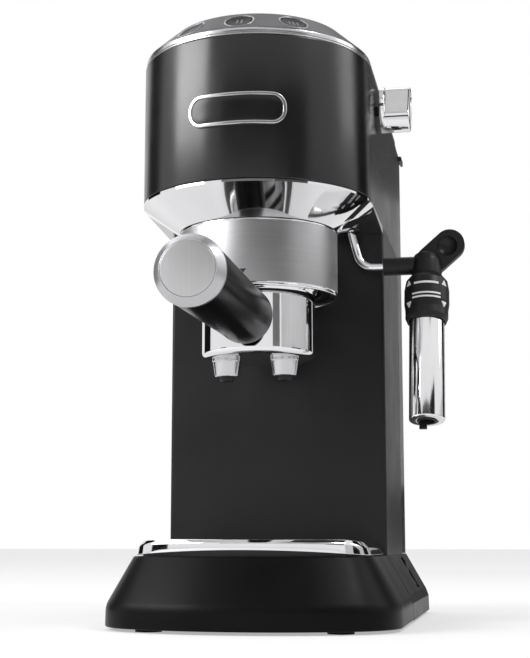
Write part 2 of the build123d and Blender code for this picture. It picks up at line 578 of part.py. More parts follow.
nodes["pressure_tube"] = hose(rise, TUBE_R, 14.0)
steam_in = [(STEAM_X, KNOB_Y, BLOCK_Z1 + PORT_LEN), (STEAM_X, KNOB_Y, KNOB_Z)]
steam_in += [(VALVE_X0 - PORT_LEN, KNOB_Y, KNOB_Z)]
steam_out = [(BALL_X, KNOB_Y, STEAM_Z), (BALL_X, KNOB_Y, STEAM_Z - 10)]
steam_out += [(BALL_X, BALL_Y, SPIGOT_Z + 10), (BALL_X, BALL_Y, SPIGOT_Z)]
nodes["steam_tubes"] = hose(steam_in, TUBE_R, STEAM_BEND) + hose(steam_out, TUBE_R, 5.0)

# Tank seat in the base, and the inlet gland at the back
SEAT_BORE = OUTLET_R + CLEAR
SEAT_FLOOR = 3.0
SEAT_LIP = 2.4
seat = tube(SEAT_R, SEAT_BORE, SEAT_Z0, BASE_Z1, 0, SEAT_Y)
seat += tube(SEAT_R + SEAT_LIP, SEAT_R - 1, ROOF_Z - SEAT_LIP, ROOF_Z, 0, SEAT_Y)
seat += tube(SEAT_R, HOSE_R, SEAT_Z0, SEAT_Z0 + SEAT_FLOOR, 0, SEAT_Y)
nodes["tank_seat"] = seat
COLLAR_T = 3.0
INNER_Y = BACK_Y - BASE_WALL
gland = cyl_y(GLAND_R, INNER_Y - COLLAR_T, BACK_Y + COLLAR_T, GLAND_X, GLAND_Z)
gland += cyl_y(GLAND_R + 2, BACK_Y, BACK_Y + COLLAR_T, GLAND_X, GLAND_Z)
gland += cyl_y(GLAND_R + 2, INNER_Y - COLLAR_T, INNER_Y, GLAND_X, GLAND_Z)
nodes["mains_gland"] = gland - cyl_y(GLAND_R - 2.6, BACK_Y - 2 * GLAND_R, BACK_Y + GLAND_R, GLAND_X, GLAND_Z)

# Water tank behind the column, its outlet, the hinge ears on its front wall and the lid
TANK_W = HEAD_R - 0.1
TANK_Z0 = BASE_Z1 + SEAM
LID_Z0 = HEAD_Z1 - LID_T
TANK_Z1 = LID_Z0 - CLEAR
tank = box(-TANK_W, TANK_W, TANK_Y0, BACK_Y, TANK_Z0, TANK_Z1)
tank = fillet(tank.edges().filter_by(Axis.Z).sort_by(Axis.Y)[-2:], 5.0)
TANK_FLOOR = TANK_Z0 + 2.6
TANK_IN = TANK_W - TANK_WALL
tank -= box(-TANK_IN, TANK_IN, TANK_Y0 + TANK_WALL, BACK_Y - TANK_WALL, TANK_FLOOR, TANK_Z1 + OVER)
tank -= cyl(OUTLET_R - 2.0, TANK_Z0 - OVER, TANK_FLOOR + OVER, 0, SEAT_Y)
KNUCKLE = LID_T / 2
PIN_Y = TANK_Y0 + 1.0 + KNUCKLE
PIN_Z = LID_Z0 + KNUCKLE
PIN_R = 1.0
EAR_X = TANK_W - 14.0
EAR_W = 3.0
EAR_R = 1.6
EAR_LEG = 6.0
PIN_X = EAR_W + 2.0
nodes["water_tank"] = tank
outlet = tube(OUTLET_R, OUTLET_R - 2.6, SEAT_Z0 + 6, TANK_Z0, 0, SEAT_Y)
outlet += tube(OUTLET_R - 2.0, OUTLET_R - 3.2, TANK_Z0, TANK_FLOOR + 5, 0, SEAT_Y)
outlet += tube(OUTLET_R + 3, OUTLET_R - 3.2, TANK_FLOOR, TANK_FLOOR + 2, 0, SEAT_Y)
ear = box(-EAR_W / 2, EAR_W / 2, TANK_Y0 + TANK_WALL, PIN_Y + EAR_R, TANK_Z1 - EAR_LEG, PIN_Z)
ear += cyl_x(EAR_R, -EAR_W / 2, EAR_W / 2, PIN_Y, PIN_Z) + cyl_x(PIN_R, -PIN_X, PIN_X, PIN_Y, PIN_Z)
nodes["tank_fittings"] = outlet + Pos(-EAR_X, 0, 0) * ear + Pos(EAR_X, 0, 0) * ear
LID_Y1 = BACK_Y + 3.0
LID_W = TANK_W - CLEAR
lid = box(-LID_W, LID_W, PIN_Y, LID_Y1, LID_Z0, HEAD_Z1)
lid = fillet(lid.edges().filter_by(Axis.Z).sort_by(Axis.Y)[-2:], 6.0)
lid += cyl_x(KNUCKLE, -LID_W, LID_W, PIN_Y, PIN_Z)
NOTCH = EAR_R + 1.0
NOTCH_X = EAR_W / 2 + CLEAR
for side in (-1, 1):
    notch = box(-NOTCH_X, NOTCH_X, PIN_Y - 2 * NOTCH, PIN_Y + NOTCH, LID_Z0 - OVER, HEAD_Z1 + OVER)
    lid -= Pos(side * EAR_X, 0, 0) * (notch + cyl_x(PIN_R + FIT, -PIN_X - 0.5, PIN_X + 0.5, PIN_Y, PIN_Z))
TAB_OUT = 1.8
TAB_LONG = 14.0
TAB_Z1 = LID_Z0 + LID_T / 2
TAB_X1 = HEAD_R + TAB_OUT
lid += box(LID_W - OVER, TAB_X1, BACK_Y - TAB_LONG, BACK_Y, LID_Z0, TAB_Z1)
lid += box(HEAD_R + CLEAR, TAB_X1, BACK_Y - TAB_LONG, BACK_Y, LID_Z0 - LID_T / 3, TAB_Z1)
nodes["tank_lid"] = lid

# Top of the head: bright trim, sloped control panel, buttons with their switches, cup plate
TRIM_IN = HEAD_R - 3.0
trim = u_solid(HEAD_R - 0.5, SEAM_Y, HEAD_Z1, TRIM_Z1)
trim -= u_solid(TRIM_IN, SEAM_Y - 2, HEAD_Z1 - 1, TRIM_Z1 + 1)
skirting = u_solid(IN_R, FRAME_Y - POST - 1, HEAD_Z1 - 3, HEAD_Z1)
trim += skirting - u_solid(TRIM_IN, FRAME_Y, HEAD_Z1 - OVER, TRIM_Z1 + 1)
nodes["top_trim"] = trim
PAN_R0 = HEAD_R - 0.9
PAN_R1 = PAN_R0 - PANEL_RUN
SLOPE_LEN = hypot(PANEL_RUN, PANEL_RISE)
PAN_DR = PANEL_T * SLOPE_LEN / PANEL_RISE
LIP_R = PAN_R1 - 3.4
PANEL_LIP = 2.4
LIP_Z = PANEL_Z1 - PANEL_LIP
panel = u_taper(PAN_R0, PAN_R1, SEAM_Y, TRIM_Z1, PANEL_Z1)
IN_TOP = PAN_R1 - PAN_DR + PANEL_LIP * PANEL_RUN / PANEL_RISE
panel -= u_taper(PAN_R0 - PAN_DR, IN_TOP, SEAM_Y - PANEL_LIP, TRIM_Z1, LIP_Z)
panel -= u_solid(LIP_R, SEAM_Y - 8, LIP_Z - OVER, PANEL_Z1 + OVER)
LEAN = degrees(atan2(PANEL_RUN, PANEL_RISE))
CAP_T = 3.6
FLANGE_T = 1.2
BOARD_X = BUTTON_R + 3.0
BOARD_T = 1.6
KEY_H = 3.0
KEY_HOLE = BUTTON_R + 0.4
boards = []
for name, turn in (("button_left", -BUTTON_STEP), ("button_middle", 0.0), ("button_right", BUTTON_STEP)):
    place = Rot(0, 0, turn) * Pos(0, -(PAN_R0 + PAN_R1) / 2, (TRIM_Z1 + PANEL_Z1) / 2) * Rot(90 - LEAN, 0, 0)
    panel -= place * Cylinder(KEY_HOLE, 4 * PANEL_T)
    panel -= place * Pos(0, 0, -0.9) * Cone(KEY_HOLE, KEY_HOLE + 1.6, 1.6, align=BOTTOM)
    cap = Pos(0, 0, -CAP_T - CLEAR) * Cylinder(BUTTON_R, CAP_T, align=BOTTOM)
    cap += Pos(0, 0, -CAP_T - CLEAR - FLANGE_T) * Cylinder(BUTTON_R + 0.8, FLANGE_T, align=BOTTOM)
    nodes[name] = place * cap
    low = -CAP_T - FLANGE_T - BUTTON_TRAVEL - 2 * CLEAR
    board = Pos(0, 0, low - KEY_H) * Box(2 * KEY_H, 2 * KEY_H, KEY_H, align=BOTTOM)
    board += Pos(0, 0, low - KEY_H - BOARD_T) * Box(2 * BOARD_X, 11, BOARD_T, align=BOTTOM)
    for side in (-1, 1):
        post = Box(1.2, 4.0, KEY_H - low - PANEL_T, align=BOTTOM)
        board += Pos(side * (BOARD_X - 0.8), 0, low - KEY_H) * post
    boards.append(place * board)
nodes["control_panel"] = panel
nodes["switch_boards"] = gather(boards) - panel
nodes["cup_plate"] = u_solid(LIP_R + 0.9, SEAM_Y - 6, LIP_Z - CUP_PLATE_T, LIP_Z)

# Blank front plate on the head
BADGE_W = 50.0
BADGE_H = 16.6
BADGE_T = 1.4
BADGE_UP = 35.2
badge_face = Plane.XZ * Pos(0, HEAD_Z0 + BADGE_UP) * RectangleRounded(BADGE_W, BADGE_H, BADGE_H / 4)
badge = extrude(badge_face, 2 * HEAD_R)
nodes["front_plate"] = badge & tube(HEAD_R + BADGE_T, HEAD_R, HEAD_Z0, HEAD_Z1)

# Portafilter: body with lugs, basket, spouts and handle
PF_FLOOR = PF_Z0 + 4.3
PF_BORE = BASKET_R + 1.9
NECK_Z = RING_Z0 + 1.2
PF_ROUND = 3.6
body = [(0, PF_Z0), (PF_R - PF_ROUND, PF_Z0), (PF_R - 0.3 * PF_ROUND, PF_Z0 + 0.3 * PF_ROUND)]
body += [(PF_R, PF_Z0 + PF_ROUND), (PF_R, NECK_Z), (PF_FLANGE, NECK_Z + 3.0)]
body += [(PF_FLANGE, PF_TOP), (0, PF_TOP)]
body = spin(body) - cyl(PF_BORE, PF_FLOOR, PF_TOP + OVER)
for k in range(3):
    lug = box(-LUG_W / 2, LUG_W / 2, -LUG_R, -PF_BORE - 1.0, LUG_Z0, LUG_Z1)
    body += Rot(0, 0, k * 120) * (lug & cyl(LUG_R, LUG_Z0 - OVER, LUG_Z1 + OVER))
STEM_Y = -PF_R - HANDLE_GAP
STUD_R = 4.0
SOCKET_STEM = 9.0
DRAIN_R = 2.6
body += cyl_y(SOCKET_STEM, STEM_Y - 1.0, -PF_BORE - 1.0, 0, HANDLE_Z)
for side in (-1, 1):
    body -= cyl(DRAIN_R, PF_Z0 - OVER, PF_FLOOR + OVER, side * SPOUT_X, SPOUT_Y)
nodes["portafilter_body"] = body
BASKET_Z1 = PF_TOP + BASKET_T
BASKET_Z0 = BASKET_Z1 - BASKET_DEEP
basket = tube(BASKET_R + 0.9, BASKET_R, BASKET_Z0, BASKET_Z1)
basket += tube(PF_FLANGE - 0.9, BASKET_R, PF_TOP, BASKET_Z1)
basket += cyl(BASKET_R + 0.9, BASKET_Z0, BASKET_Z0 + BASKET_T)
BASKET_HOLES = 12
HOLE_RING = 0.6 * BASKET_R
for k in range(BASKET_HOLES):
    t = 2 * pi * k / BASKET_HOLES
    basket -= Pos(HOLE_RING * cos(t), HOLE_RING * sin(t), BASKET_Z0) * Box(1.4, 1.4, 4)
nodes["filter_basket"] = basket
spouts = []
tips = []
SPOUT_Z = PF_Z0 - SPOUT_H
TIP_Z = SPOUT_Z - TIP_H
for side in (-1, 1):
    at = Pos(side * SPOUT_X, SPOUT_Y, 0)
    flare = [(DRAIN_R, PF_Z0), (SPOUT_R, PF_Z0), (SPOUT_R, PF_Z0 - 1.7), (SPOUT_R - 0.5, PF_Z0 - 2.2)]
    flare += [(SPOUT_END, SPOUT_Z + 0.6), (SPOUT_END - 0.6, SPOUT_Z), (DRAIN_R, SPOUT_Z)]
    spouts.append(at * spin(flare))
    nib = [(TIP_BORE, SPOUT_Z + 2), (DRAIN_R, SPOUT_Z + 2), (DRAIN_R, SPOUT_Z), (TIP_R, SPOUT_Z)]
    nib += [(TIP_R - 0.3, TIP_Z + 1.0), (TIP_R - 1.0, TIP_Z), (TIP_BORE, TIP_Z)]
    tips.append(at * spin(nib))
nodes["spouts"] = gather(spouts)
nodes["spout_tips"] = gather(tips)
H0 = -STEM_Y
H1 = H0 + HANDLE_LEN
to_handle = Pos(0, 0, HANDLE_Z) * Rot(90, 0, 0)
GRIP_END = END_R - 0.3
grip = [(STUD_R, H0), (HANDLE_R - 4.3, H0), (HANDLE_R - 1.7, H0 + 1.2), (HANDLE_R - 0.4, H0 + 4.0)]
grip += [(HANDLE_R, H0 + 24), (GRIP_END, H1 - 1), (GRIP_END, H1), (STUD_R, H1)]
nodes["handle"] = to_handle * (spin(grip) - cyl(SOCKET_STEM, H0 - OVER, H0 + 1.0))
nodes["handle_bolt"] = to_handle * cyl(STUD_R, H0 + 1.0, H1 - 2.0)
DISC_R = END_R - 3.6
H2 = H1 + END_LEN
bezel = [(DISC_R, H1), (GRIP_END, H1), (END_R, H1 + 1.0), (END_R, H1 + 2.4), (DISC_R + 0.2, H2), (DISC_R, H2)]
nodes["handle_ring"] = to_handle * spin(bezel)
nodes["handle_disc"] = to_handle * cyl(DISC_R, H1, H2 + 0.2)

# Steam knob and its spindle
KNOB_X = HEAD_R + 1.7
KNOB_ANGLE = 62.0
KNOB_CAP = 4.0
KNOB_X1 = KNOB_X + KNOB_LEN
knob = cyl_x(KNOB_R, KNOB_X, KNOB_X + KNOB_DISC, KNOB_Y, KNOB_Z)
bar = extrude(Plane.YZ * SlotOverall(KNOB_BAR, KNOB_BAR_W), KNOB_LEN - KNOB_DISC)
bar = fillet(bar.edges().group_by(Axis.X)[-1], 1.2)
knob += Pos(KNOB_X + KNOB_DISC, KNOB_Y, KNOB_Z) * Rot(KNOB_ANGLE, 0, 0) * bar
nodes["steam_knob"] = knob - cyl_x(SPINDLE_R, KNOB_X - OVER, KNOB_X1 - KNOB_CAP, KNOB_Y, KNOB_Z)
nodes["valve_spindle"] = cyl_x(SPINDLE_R, VALVE_X - SPINDLE_DEEP, KNOB_X1 - KNOB_CAP, KNOB_Y, KNOB_Z)

# Steam wand: ball and tube, grip elbow with its tab, nozzle, selector, sleeve and its tip
ARM_X0 = HEAD_R + 0.9
TUBE_IN = 10.4
BEND_X = BALL_X + 6.5
pipe = [(BALL_X, BALL_Y, BALL_Z), (BEND_X, BALL_Y, ARM_Z), (ARM_X0 + TUBE_IN, BALL_Y, ARM_Z)]
nodes["wand_tube"] = hose(pipe, TUBE_R, 9.0) + Pos(BALL_X, BALL_Y, BALL_Z) * Sphere(BALL_R)
to_wand = Pos(WAND_X, BALL_Y, ARM_Z) * Rot(-WAND_TILT, 0, 0) * Rot(180, 0, 0)
STEM_LOW = 7.0
STEM_R = ARM_R + 2.6
TAB_W = 16.4
TAB_LEN = 30.0
TAB_ROOT = 9.0
TAB_T = 6.0
TAB_TURN = 41.0
grip_arm = cyl_x(ARM_R, ARM_X0, WAND_X, BALL_Y, ARM_Z)
grip_arm -= cyl_x(TUBE_R, ARM_X0 - OVER, ARM_X0 + TUBE_IN, BALL_Y, ARM_Z)
ELBOW_R = ARM_R + 1.2
grip_arm += to_wand * (Sphere(ELBOW_R) + cone(ARM_R, STEM_R, -ARM_R / 2, STEM_LOW))
to_tab = Pos(WAND_X + 3.0, BALL_Y + 2.0, ARM_Z + 3.0) * Rot(0, -TAB_TURN, 0)
tab = extrude(Plane.XZ * Pos(TAB_LEN / 2 - TAB_ROOT, 0) * SlotOverall(TAB_LEN, TAB_W), TAB_T / 2, both=True)
DISH_R = TAB_W / 2 - 2.6
DISH_DEEP = TAB_T / 2
DISH_BALL = (DISH_R**2 + DISH_DEEP**2) / (2 * DISH_DEEP)
tab -= Pos(TAB_LEN - TAB_ROOT - TAB_W / 2 - 1.6, DISH_DEEP - DISH_BALL - TAB_T / 2, 0) * Sphere(DISH_BALL)
grip_arm += to_tab * tab - to_wand * cyl(2 * TAB_LEN, STEM_LOW, 2 * TAB_LEN)
nodes["wand_grip"] = grip_arm
NOZZLE_END = STEM_LOW + SLEEVE_LEN
NOZZLE_STEP = STEM_LOW + 0.6 * SLEEVE_LEN
JET_R = NOZZLE_R - 2.8
nozzle = cyl(NOZZLE_R, STEM_LOW, NOZZLE_STEP) + cyl(JET_R, NOZZLE_STEP, NOZZLE_END)
nodes["wand_nozzle"] = to_wand * (nozzle - cyl(JET_R - 2.0, STEM_LOW - 1, NOZZLE_END + 1))
SLIDE_R = NOZZLE_R + CLEAR + 0.1
SEL_0 = STEM_LOW + 2 * CLEAR
POCKET = SEL_0 + 17.4
SEL_1 = POCKET + 9.4
SEL_LOW_R = SELECTOR_R - 0.6
HOLD_R = SLEEVE_R + 0.4
barrel = [(SLIDE_R, SEL_0), (SELECTOR_R - 3.4, SEL_0), (SELECTOR_R - 0.9, SEL_0 + 3.2)]
barrel += [(SELECTOR_R, SEL_0 + 8.4), (SELECTOR_R, POCKET - 1.0), (SEL_LOW_R, POCKET + 3.0)]
barrel += [(SEL_LOW_R, SEL_1 - 2.4), (SEL_LOW_R - 1.0, SEL_1), (HOLD_R, SEL_1), (HOLD_R, POCKET)]
barrel += [(SLIDE_R, POCKET)]
nodes["froth_selector"] = to_wand * spin(barrel)
SLEEVE_0 = POCKET + 6.0
SLEEVE_1 = SLEEVE_0 + SLEEVE_LEN
SLEEVE_T = 0.8
sleeve = tube(SLEEVE_R, SLEEVE_R - SLEEVE_T, SLEEVE_0, SLEEVE_1)
sleeve += tube(SLEEVE_R - SLEEVE_T / 2, NOZZLE_R + CLEAR, SLEEVE_0, SLEEVE_0 + 5)
sleeve += tube(SLEEVE_R - SLEEVE_T / 2, MOUTH_R, SLEEVE_1 - SLEEVE_T, SLEEVE_1)
nodes["froth_sleeve"] = to_wand * sleeve
TIP_SLEEVE = SLEEVE_1 - SLEEVE_T
MOUTH_IN = MOUTH_R - 1.0
end = tube(SLEEVE_R - SLEEVE_T, MOUTH_IN, TIP_SLEEVE - 4, TIP_SLEEVE)
end += tube(MOUTH_R, MOUTH_IN, TIP_SLEEVE, SLEEVE_1 + 0.4)
hook = box(-4.4, -0.4, -MOUTH_R - 1.4, -MOUTH_IN, SLEEVE_1, SLEEVE_1 + 2.4)
end += hook - cyl(MOUTH_IN, SLEEVE_1 - OVER, SLEEVE_1 + OVER)
nodes["sleeve_tip"] = to_wand * end

os.makedirs("parts", exist_ok=True)
for name, shape in nodes.items():
    shape.label = name
    export_step(shape, f"parts/{name}.step")
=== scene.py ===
"""Looks of a pump espresso machine: materials, detailed pieces, stage, light and camera.

Lengths are in millimetres in this script and become metres where a mesh is made.
"""
import json
import math
import bmesh
import bpy
from mathutils import Matrix, Vector


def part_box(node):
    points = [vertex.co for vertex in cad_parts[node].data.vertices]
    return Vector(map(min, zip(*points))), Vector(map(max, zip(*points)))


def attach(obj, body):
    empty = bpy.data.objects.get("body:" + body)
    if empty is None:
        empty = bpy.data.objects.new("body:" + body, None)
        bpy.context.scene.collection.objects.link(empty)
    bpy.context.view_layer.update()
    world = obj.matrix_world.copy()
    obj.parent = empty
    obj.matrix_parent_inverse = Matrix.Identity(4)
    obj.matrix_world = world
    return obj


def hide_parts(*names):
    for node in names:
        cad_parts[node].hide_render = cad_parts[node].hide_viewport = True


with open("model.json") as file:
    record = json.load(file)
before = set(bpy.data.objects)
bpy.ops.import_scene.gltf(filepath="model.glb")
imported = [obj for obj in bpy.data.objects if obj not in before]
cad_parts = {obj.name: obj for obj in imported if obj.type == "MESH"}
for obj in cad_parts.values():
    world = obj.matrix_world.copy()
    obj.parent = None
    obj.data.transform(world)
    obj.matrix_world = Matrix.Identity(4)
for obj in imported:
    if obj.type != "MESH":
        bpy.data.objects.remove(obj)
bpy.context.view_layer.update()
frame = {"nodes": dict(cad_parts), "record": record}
nodes = frame["nodes"]
MM = 0.001

# Photograph's frame and the camera that was solved from it
IMAGE_H = 658
FOCAL_PX = 1355.0
SENSOR = 36.0
CAMERA = (131.4, -688.6, 42.4)
CAMERA_TURN = 10.53
CAMERA_RISE = 8.98


def corners(node):
    """Lowest and highest corner of a CAD node, in millimetres."""
    low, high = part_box(node)
    return low / MM, high / MM


# Sizes read from the CAD nodes
head_lo, head_hi = corners("head_shell")
HEAD_R = head_hi.x
HEAD_Z0, HEAD_Z1 = head_lo.z, head_hi.z
SEAM_Y = head_hi.y
col_lo, col_hi = corners("column_shell")
trim_lo, trim_hi = corners("top_trim")
panel_hi = corners("control_panel")[1]
plate_lo, plate_hi = corners("front_plate")
skirt_lo, skirt_hi = corners("chrome_skirt")
ring_lo, ring_hi = corners("brew_ring")
RING_R = ring_hi.x
pf_lo, pf_hi = corners("portafilter_body")
spout_lo, spout_hi = corners("spouts")
tip_lo, tip_hi = corners("spout_tips")
grip_lo, grip_hi = corners("handle")
bezel_lo, bezel_hi = corners("handle_ring")
disc_lo, disc_hi = corners("handle_disc")
knob_lo, knob_hi = corners("steam_knob")
pipe_lo = corners("wand_tube")[0]
socket_lo, socket_hi = corners("wand_socket")
selector_lo, selector_hi = corners("froth_selector")
tray_lo, tray_hi = corners("drip_tray")
base_lo, base_hi = corners("base_housing")
rim_lo, rim_hi = corners("tray_rim")


# Materials: noise scales are per metre and relief depths in metres
CLOUD_SCALE = 35.0
RELIEF = 0.35
STREAK_SCALE = 1400.0
STREAK_DETAIL = 6.0
STREAK_RELIEF = 0.03
STREAK_DEPTH = 0.00003
BRUSH_CLOUD = 30.0
BRUSH_PLAY = 0.03
# Colour sockets of a Mix node, which it names like its other sockets
MIX_A, MIX_B, MIX_OUT = 6, 7, 2
# Grille: how far up a face looks where the metal starts and where it is full; below that the face is painted
# near-black as painted shade
TOP_START, TOP_FULL = 0.6, 0.8
TOP_BRUSH = (0.02, 1.0, 1.0)
TOP_PLAY = 0.06
SIDE_ROUGH, TOP_ROUGH = 0.45, 0.2


def grey(level, cool=0.0):
    """A grey colour, with a little more blue where it is cool."""
    return (level, level, level + cool)


def new_material(name):
    """A node material, its tree and its shader."""
    mat = bpy.data.materials.new(name)
    mat.use_nodes = True
    return mat, mat.node_tree, mat.node_tree.nodes["Principled BSDF"]


def add(tree, kind, **values):
    """A new node with its properties, and its unlinked inputs, set by name."""
    made = tree.nodes.new(kind)
    for key, value in values.items():
        if key in made.inputs:
            made.inputs[key].default_value = value
        else:
            setattr(made, key, value)
    return made


def noise(tree, scale, stretch=(1.0, 1.0, 1.0), detail=4.0):
    """Noise in the object's own metres, stretched along its axes."""
    where = add(tree, "ShaderNodeTexCoord")
    mapping = add(tree, "ShaderNodeMapping")
    mapping.inputs["Scale"].default_value = stretch
    grain = add(tree, "ShaderNodeTexNoise", Scale=scale, Detail=detail)
    tree.links.new(where.outputs["Object"], mapping.inputs["Vector"])
    tree.links.new(mapping.outputs["Vector"], grain.inputs["Vector"])
    return grain.outputs["Fac"]


def spread(tree, source, low, high, start=0.3, end=0.7):
    """Maps a value from one range to another and clamps it there."""
    ramp = add(tree, "ShaderNodeMapRange")
    ramp.inputs["From Min"].default_value = start
    ramp.inputs["From Max"].default_value = end
    ramp.inputs["To Min"].default_value = low
    ramp.inputs["To Max"].default_value = high
    tree.links.new(source, ramp.inputs["Value"])
    return ramp.outputs["Result"]


def tint(tree, source, low, high):
    """Mixes two colours by a value."""
    mix = add(tree, "ShaderNodeMix", data_type="RGBA")
    mix.inputs[MIX_A].default_value = (*low, 1.0)
    mix.inputs[MIX_B].default_value = (*high, 1.0)
    tree.links.new(source, mix.inputs["Factor"])
    return mix.outputs[MIX_OUT]


def bump(tree, shader, source, strength, distance):
    """A fine relief on a shader, from a height value."""
    relief = add(tree, "ShaderNodeBump", Strength=strength, Distance=distance)
    tree.links.new(source, relief.inputs["Height"])
    tree.links.new(relief.outputs["Normal"], shader.inputs["Normal"])


def surface(name, low, high, rough, grain, depth, metallic=0.0, specular=0.5, play=0.04, edge=1.0):
    """A surface with blotchy colour, uneven roughness, a fine relief and a set strength at grazing angles."""
    mat, tree, shader = new_material(name)
    shader.inputs["Metallic"].default_value = metallic
    shader.inputs["Specular IOR Level"].default_value = specular
    shader.inputs["Specular Tint"].default_value = (edge, edge, edge, 1.0)
    cloud = noise(tree, CLOUD_SCALE)
    tree.links.new(tint(tree, spread(tree, cloud, 0.0, 1.0), low, high), shader.inputs["Base Color"])
    tree.links.new(spread(tree, cloud, rough - play, rough + play), shader.inputs["Roughness"])
    bump(tree, shader, noise(tree, grain), RELIEF, depth)
    return mat


def brushed(name, low, high, rough, stretch, turn=None, aniso=0.0):
    """Brushed steel: streaks along one direction, and a stretched highlight across them."""
    mat, tree, shader = new_material(name)
    shader.inputs["Metallic"].default_value = 1.0
    shader.inputs["Anisotropic"].default_value = aniso
    streak = noise(tree, STREAK_SCALE, stretch, STREAK_DETAIL)
    tree.links.new(tint(tree, spread(tree, streak, 0.0, 1.0), low, high), shader.inputs["Base Color"])
    uneven = spread(tree, noise(tree, BRUSH_CLOUD), rough - BRUSH_PLAY, rough + BRUSH_PLAY)
    tree.links.new(uneven, shader.inputs["Roughness"])
    bump(tree, shader, streak, STREAK_RELIEF, STREAK_DEPTH)
    if turn:
        tangent = add(tree, "ShaderNodeTangent", direction_type="RADIAL", axis=turn)
        tree.links.new(tangent.outputs["Tangent"], shader.inputs["Tangent"])
    return mat


def steel_top_painted_shade(name, top, side):
    """Bright brushed metal on faces that look up, and painted shade on the rest: every other face is
    near-black and dull.
    """
    mat, tree, shader = new_material(name)
    normal = add(tree, "ShaderNodeNewGeometry")
    split = add(tree, "ShaderNodeSeparateXYZ")
    tree.links.new(normal.outputs["Normal"], split.inputs["Vector"])
    up = spread(tree, split.outputs["Z"], 0.0, 1.0, TOP_START, TOP_FULL)
    streak = noise(tree, STREAK_SCALE, TOP_BRUSH, STREAK_DETAIL)
    bright = tint(tree, streak, top, grey(top[0] + TOP_PLAY))
    mix = add(tree, "ShaderNodeMix", data_type="RGBA")
    mix.inputs[MIX_A].default_value = (*side, 1.0)
    tree.links.new(bright, mix.inputs[MIX_B])
    tree.links.new(up, mix.inputs["Factor"])
    tree.links.new(mix.outputs[MIX_OUT], shader.inputs["Base Color"])
    tree.links.new(up, shader.inputs["Metallic"])
    tree.links.new(spread(tree, up, SIDE_ROUGH, TOP_ROUGH, 0.0, 1.0), shader.inputs["Roughness"])
    bump(tree, shader, streak, STREAK_RELIEF, STREAK_DEPTH)
    return mat


# One finish per material slot: two tones, roughness, grain and depth of the relief, and 1.0 where it is metal
MATERIALS = {
    "black_paint": surface("black_paint", grey(0.0025), grey(0.0045), 0.24, 2600.0, 0.00001, specular=0.5),
    "base_black": surface("base_black", grey(0.0025), grey(0.004), 0.38, 3200.0, 0.00003, specular=0.09),
    "grille_black": surface("grille_black", grey(0.007), grey(0.010), 0.45, 3000.0, 0.00003, specular=0.3),
    "chrome": surface("chrome", grey(0.72, 0.01), grey(0.76, 0.012), 0.05, 900.0, 0.000001, 1.0, play=0.015),
    "brushed": brushed("brushed", grey(0.36, 0.006), grey(0.39, 0.008), 0.34, (0.03, 0.03, 1.0), "Z", 0.6),
    "sleeve_steel": surface("sleeve_steel", grey(0.72, 0.01), grey(0.78, 0.01), 0.1, 900.0, 0.000001, 1.0),
    "panel_silver": surface(
        "panel_silver", grey(0.2, 0.006), grey(0.25, 0.008), 0.42, 4200.0, 0.00001, 1.0, edge=0.45),
    "handle_black": surface("handle_black", grey(0.002), grey(0.0035), 0.22, 500.0, 0.000003, specular=0.05),
    "control_black": surface("control_black", grey(0.006), grey(0.009), 0.42, 3400.0, 0.00003, specular=0.3),
    "button_dark": surface(
        "button_dark", grey(0.016, 0.002), grey(0.022, 0.003), 0.45, 2000.0, 0.00001, specular=0.1, edge=0.5),
    "front_blank": surface("front_blank", grey(0.005), grey(0.007), 0.22, 800.0, 0.000005, specular=0.4),
    "tank_smoke": surface("tank_smoke", grey(0.02, 0.001), grey(0.03, 0.002), 0.22, 300.0, 0.000004),
    "lid_black": surface("lid_black", grey(0.008), grey(0.011), 0.4, 3000.0, 0.00003, specular=0.35),
    "rubber": surface("rubber", grey(0.012), grey(0.02), 0.7, 2000.0, 0.00004, specular=0.3),
    "float_red": surface("float_red", (0.5, 0.02, 0.02), (0.58, 0.035, 0.03), 0.4, 2000.0, 0.00002),
    "frame_grey": surface("frame_grey", grey(0.1), grey(0.13), 0.5, 2400.0, 0.00003),
    "plate_steel": surface("plate_steel", grey(0.03), grey(0.045), 0.45, 1500.0, 0.00003),
    "cast_alloy": surface("cast_alloy", grey(0.05), grey(0.07), 0.5, 900.0, 0.0001, 1.0),
    "works_metal": surface("works_metal", grey(0.3), grey(0.4), 0.4, 900.0, 0.00003, 1.0),
    "works_brass": surface("works_brass", (0.5, 0.38, 0.17), (0.6, 0.46, 0.22), 0.3, 900.0, 0.00003, 1.0),
    "works_tube": surface("works_tube", grey(0.7), grey(0.78), 0.4, 900.0, 0.00003),
    "works_board": surface("works_board", (0.03, 0.13, 0.06), (0.05, 0.18, 0.09), 0.45, 900.0, 0.00003),
    "socket_black": surface("socket_black", grey(0.012), grey(0.018), 0.4, 2400.0, 0.00003, specular=0.35),
}
# Finishes of drawn pieces alone
DISC_STEEL = brushed("disc_steel", grey(0.52, 0.008), grey(0.55, 0.008), 0.36, (1.0, 0.02, 0.02))
COLUMN_BLACK = surface("column_black", grey(0.008), grey(0.011), 0.34, 2600.0, 0.00002, specular=0.25)
TRIM_SATIN = surface("trim_satin", grey(0.5, 0.01), grey(0.55, 0.01), 0.22, 3000.0, 0.000004, 1.0)
BEZEL_SATIN = surface("bezel_satin", grey(0.46, 0.01), grey(0.5, 0.01), 0.34, 3000.0, 0.000004, 1.0)
SPOUT_SATIN = surface("spout_satin", grey(0.5, 0.01), grey(0.55, 0.01), 0.18, 1500.0, 0.000004, 1.0)
KEY_MARK = surface("key_mark", grey(0.16), grey(0.2), 0.5, 2500.0, 0.00001, specular=0.2)
MARK_WHITE = surface("mark_white", grey(0.75), grey(0.8), 0.5, 2500.0, 0.00001)
MARK_DARK = surface("mark_dark", grey(0.01), grey(0.02), 0.5, 2500.0, 0.00001)
for part in frame["record"]["subparts"]:
    mesh = nodes[part["node"]].data
    mesh.materials.clear()
    mesh.materials.append(MATERIALS[part["material_slot"]])
# Cup grille: steel where a face looks up, painted shade (near-black) on every other face
nodes["cup_grille"].data.materials[0] = steel_top_painted_shade("grille_steel_painted_shade", grey(0.56), grey(0.008))


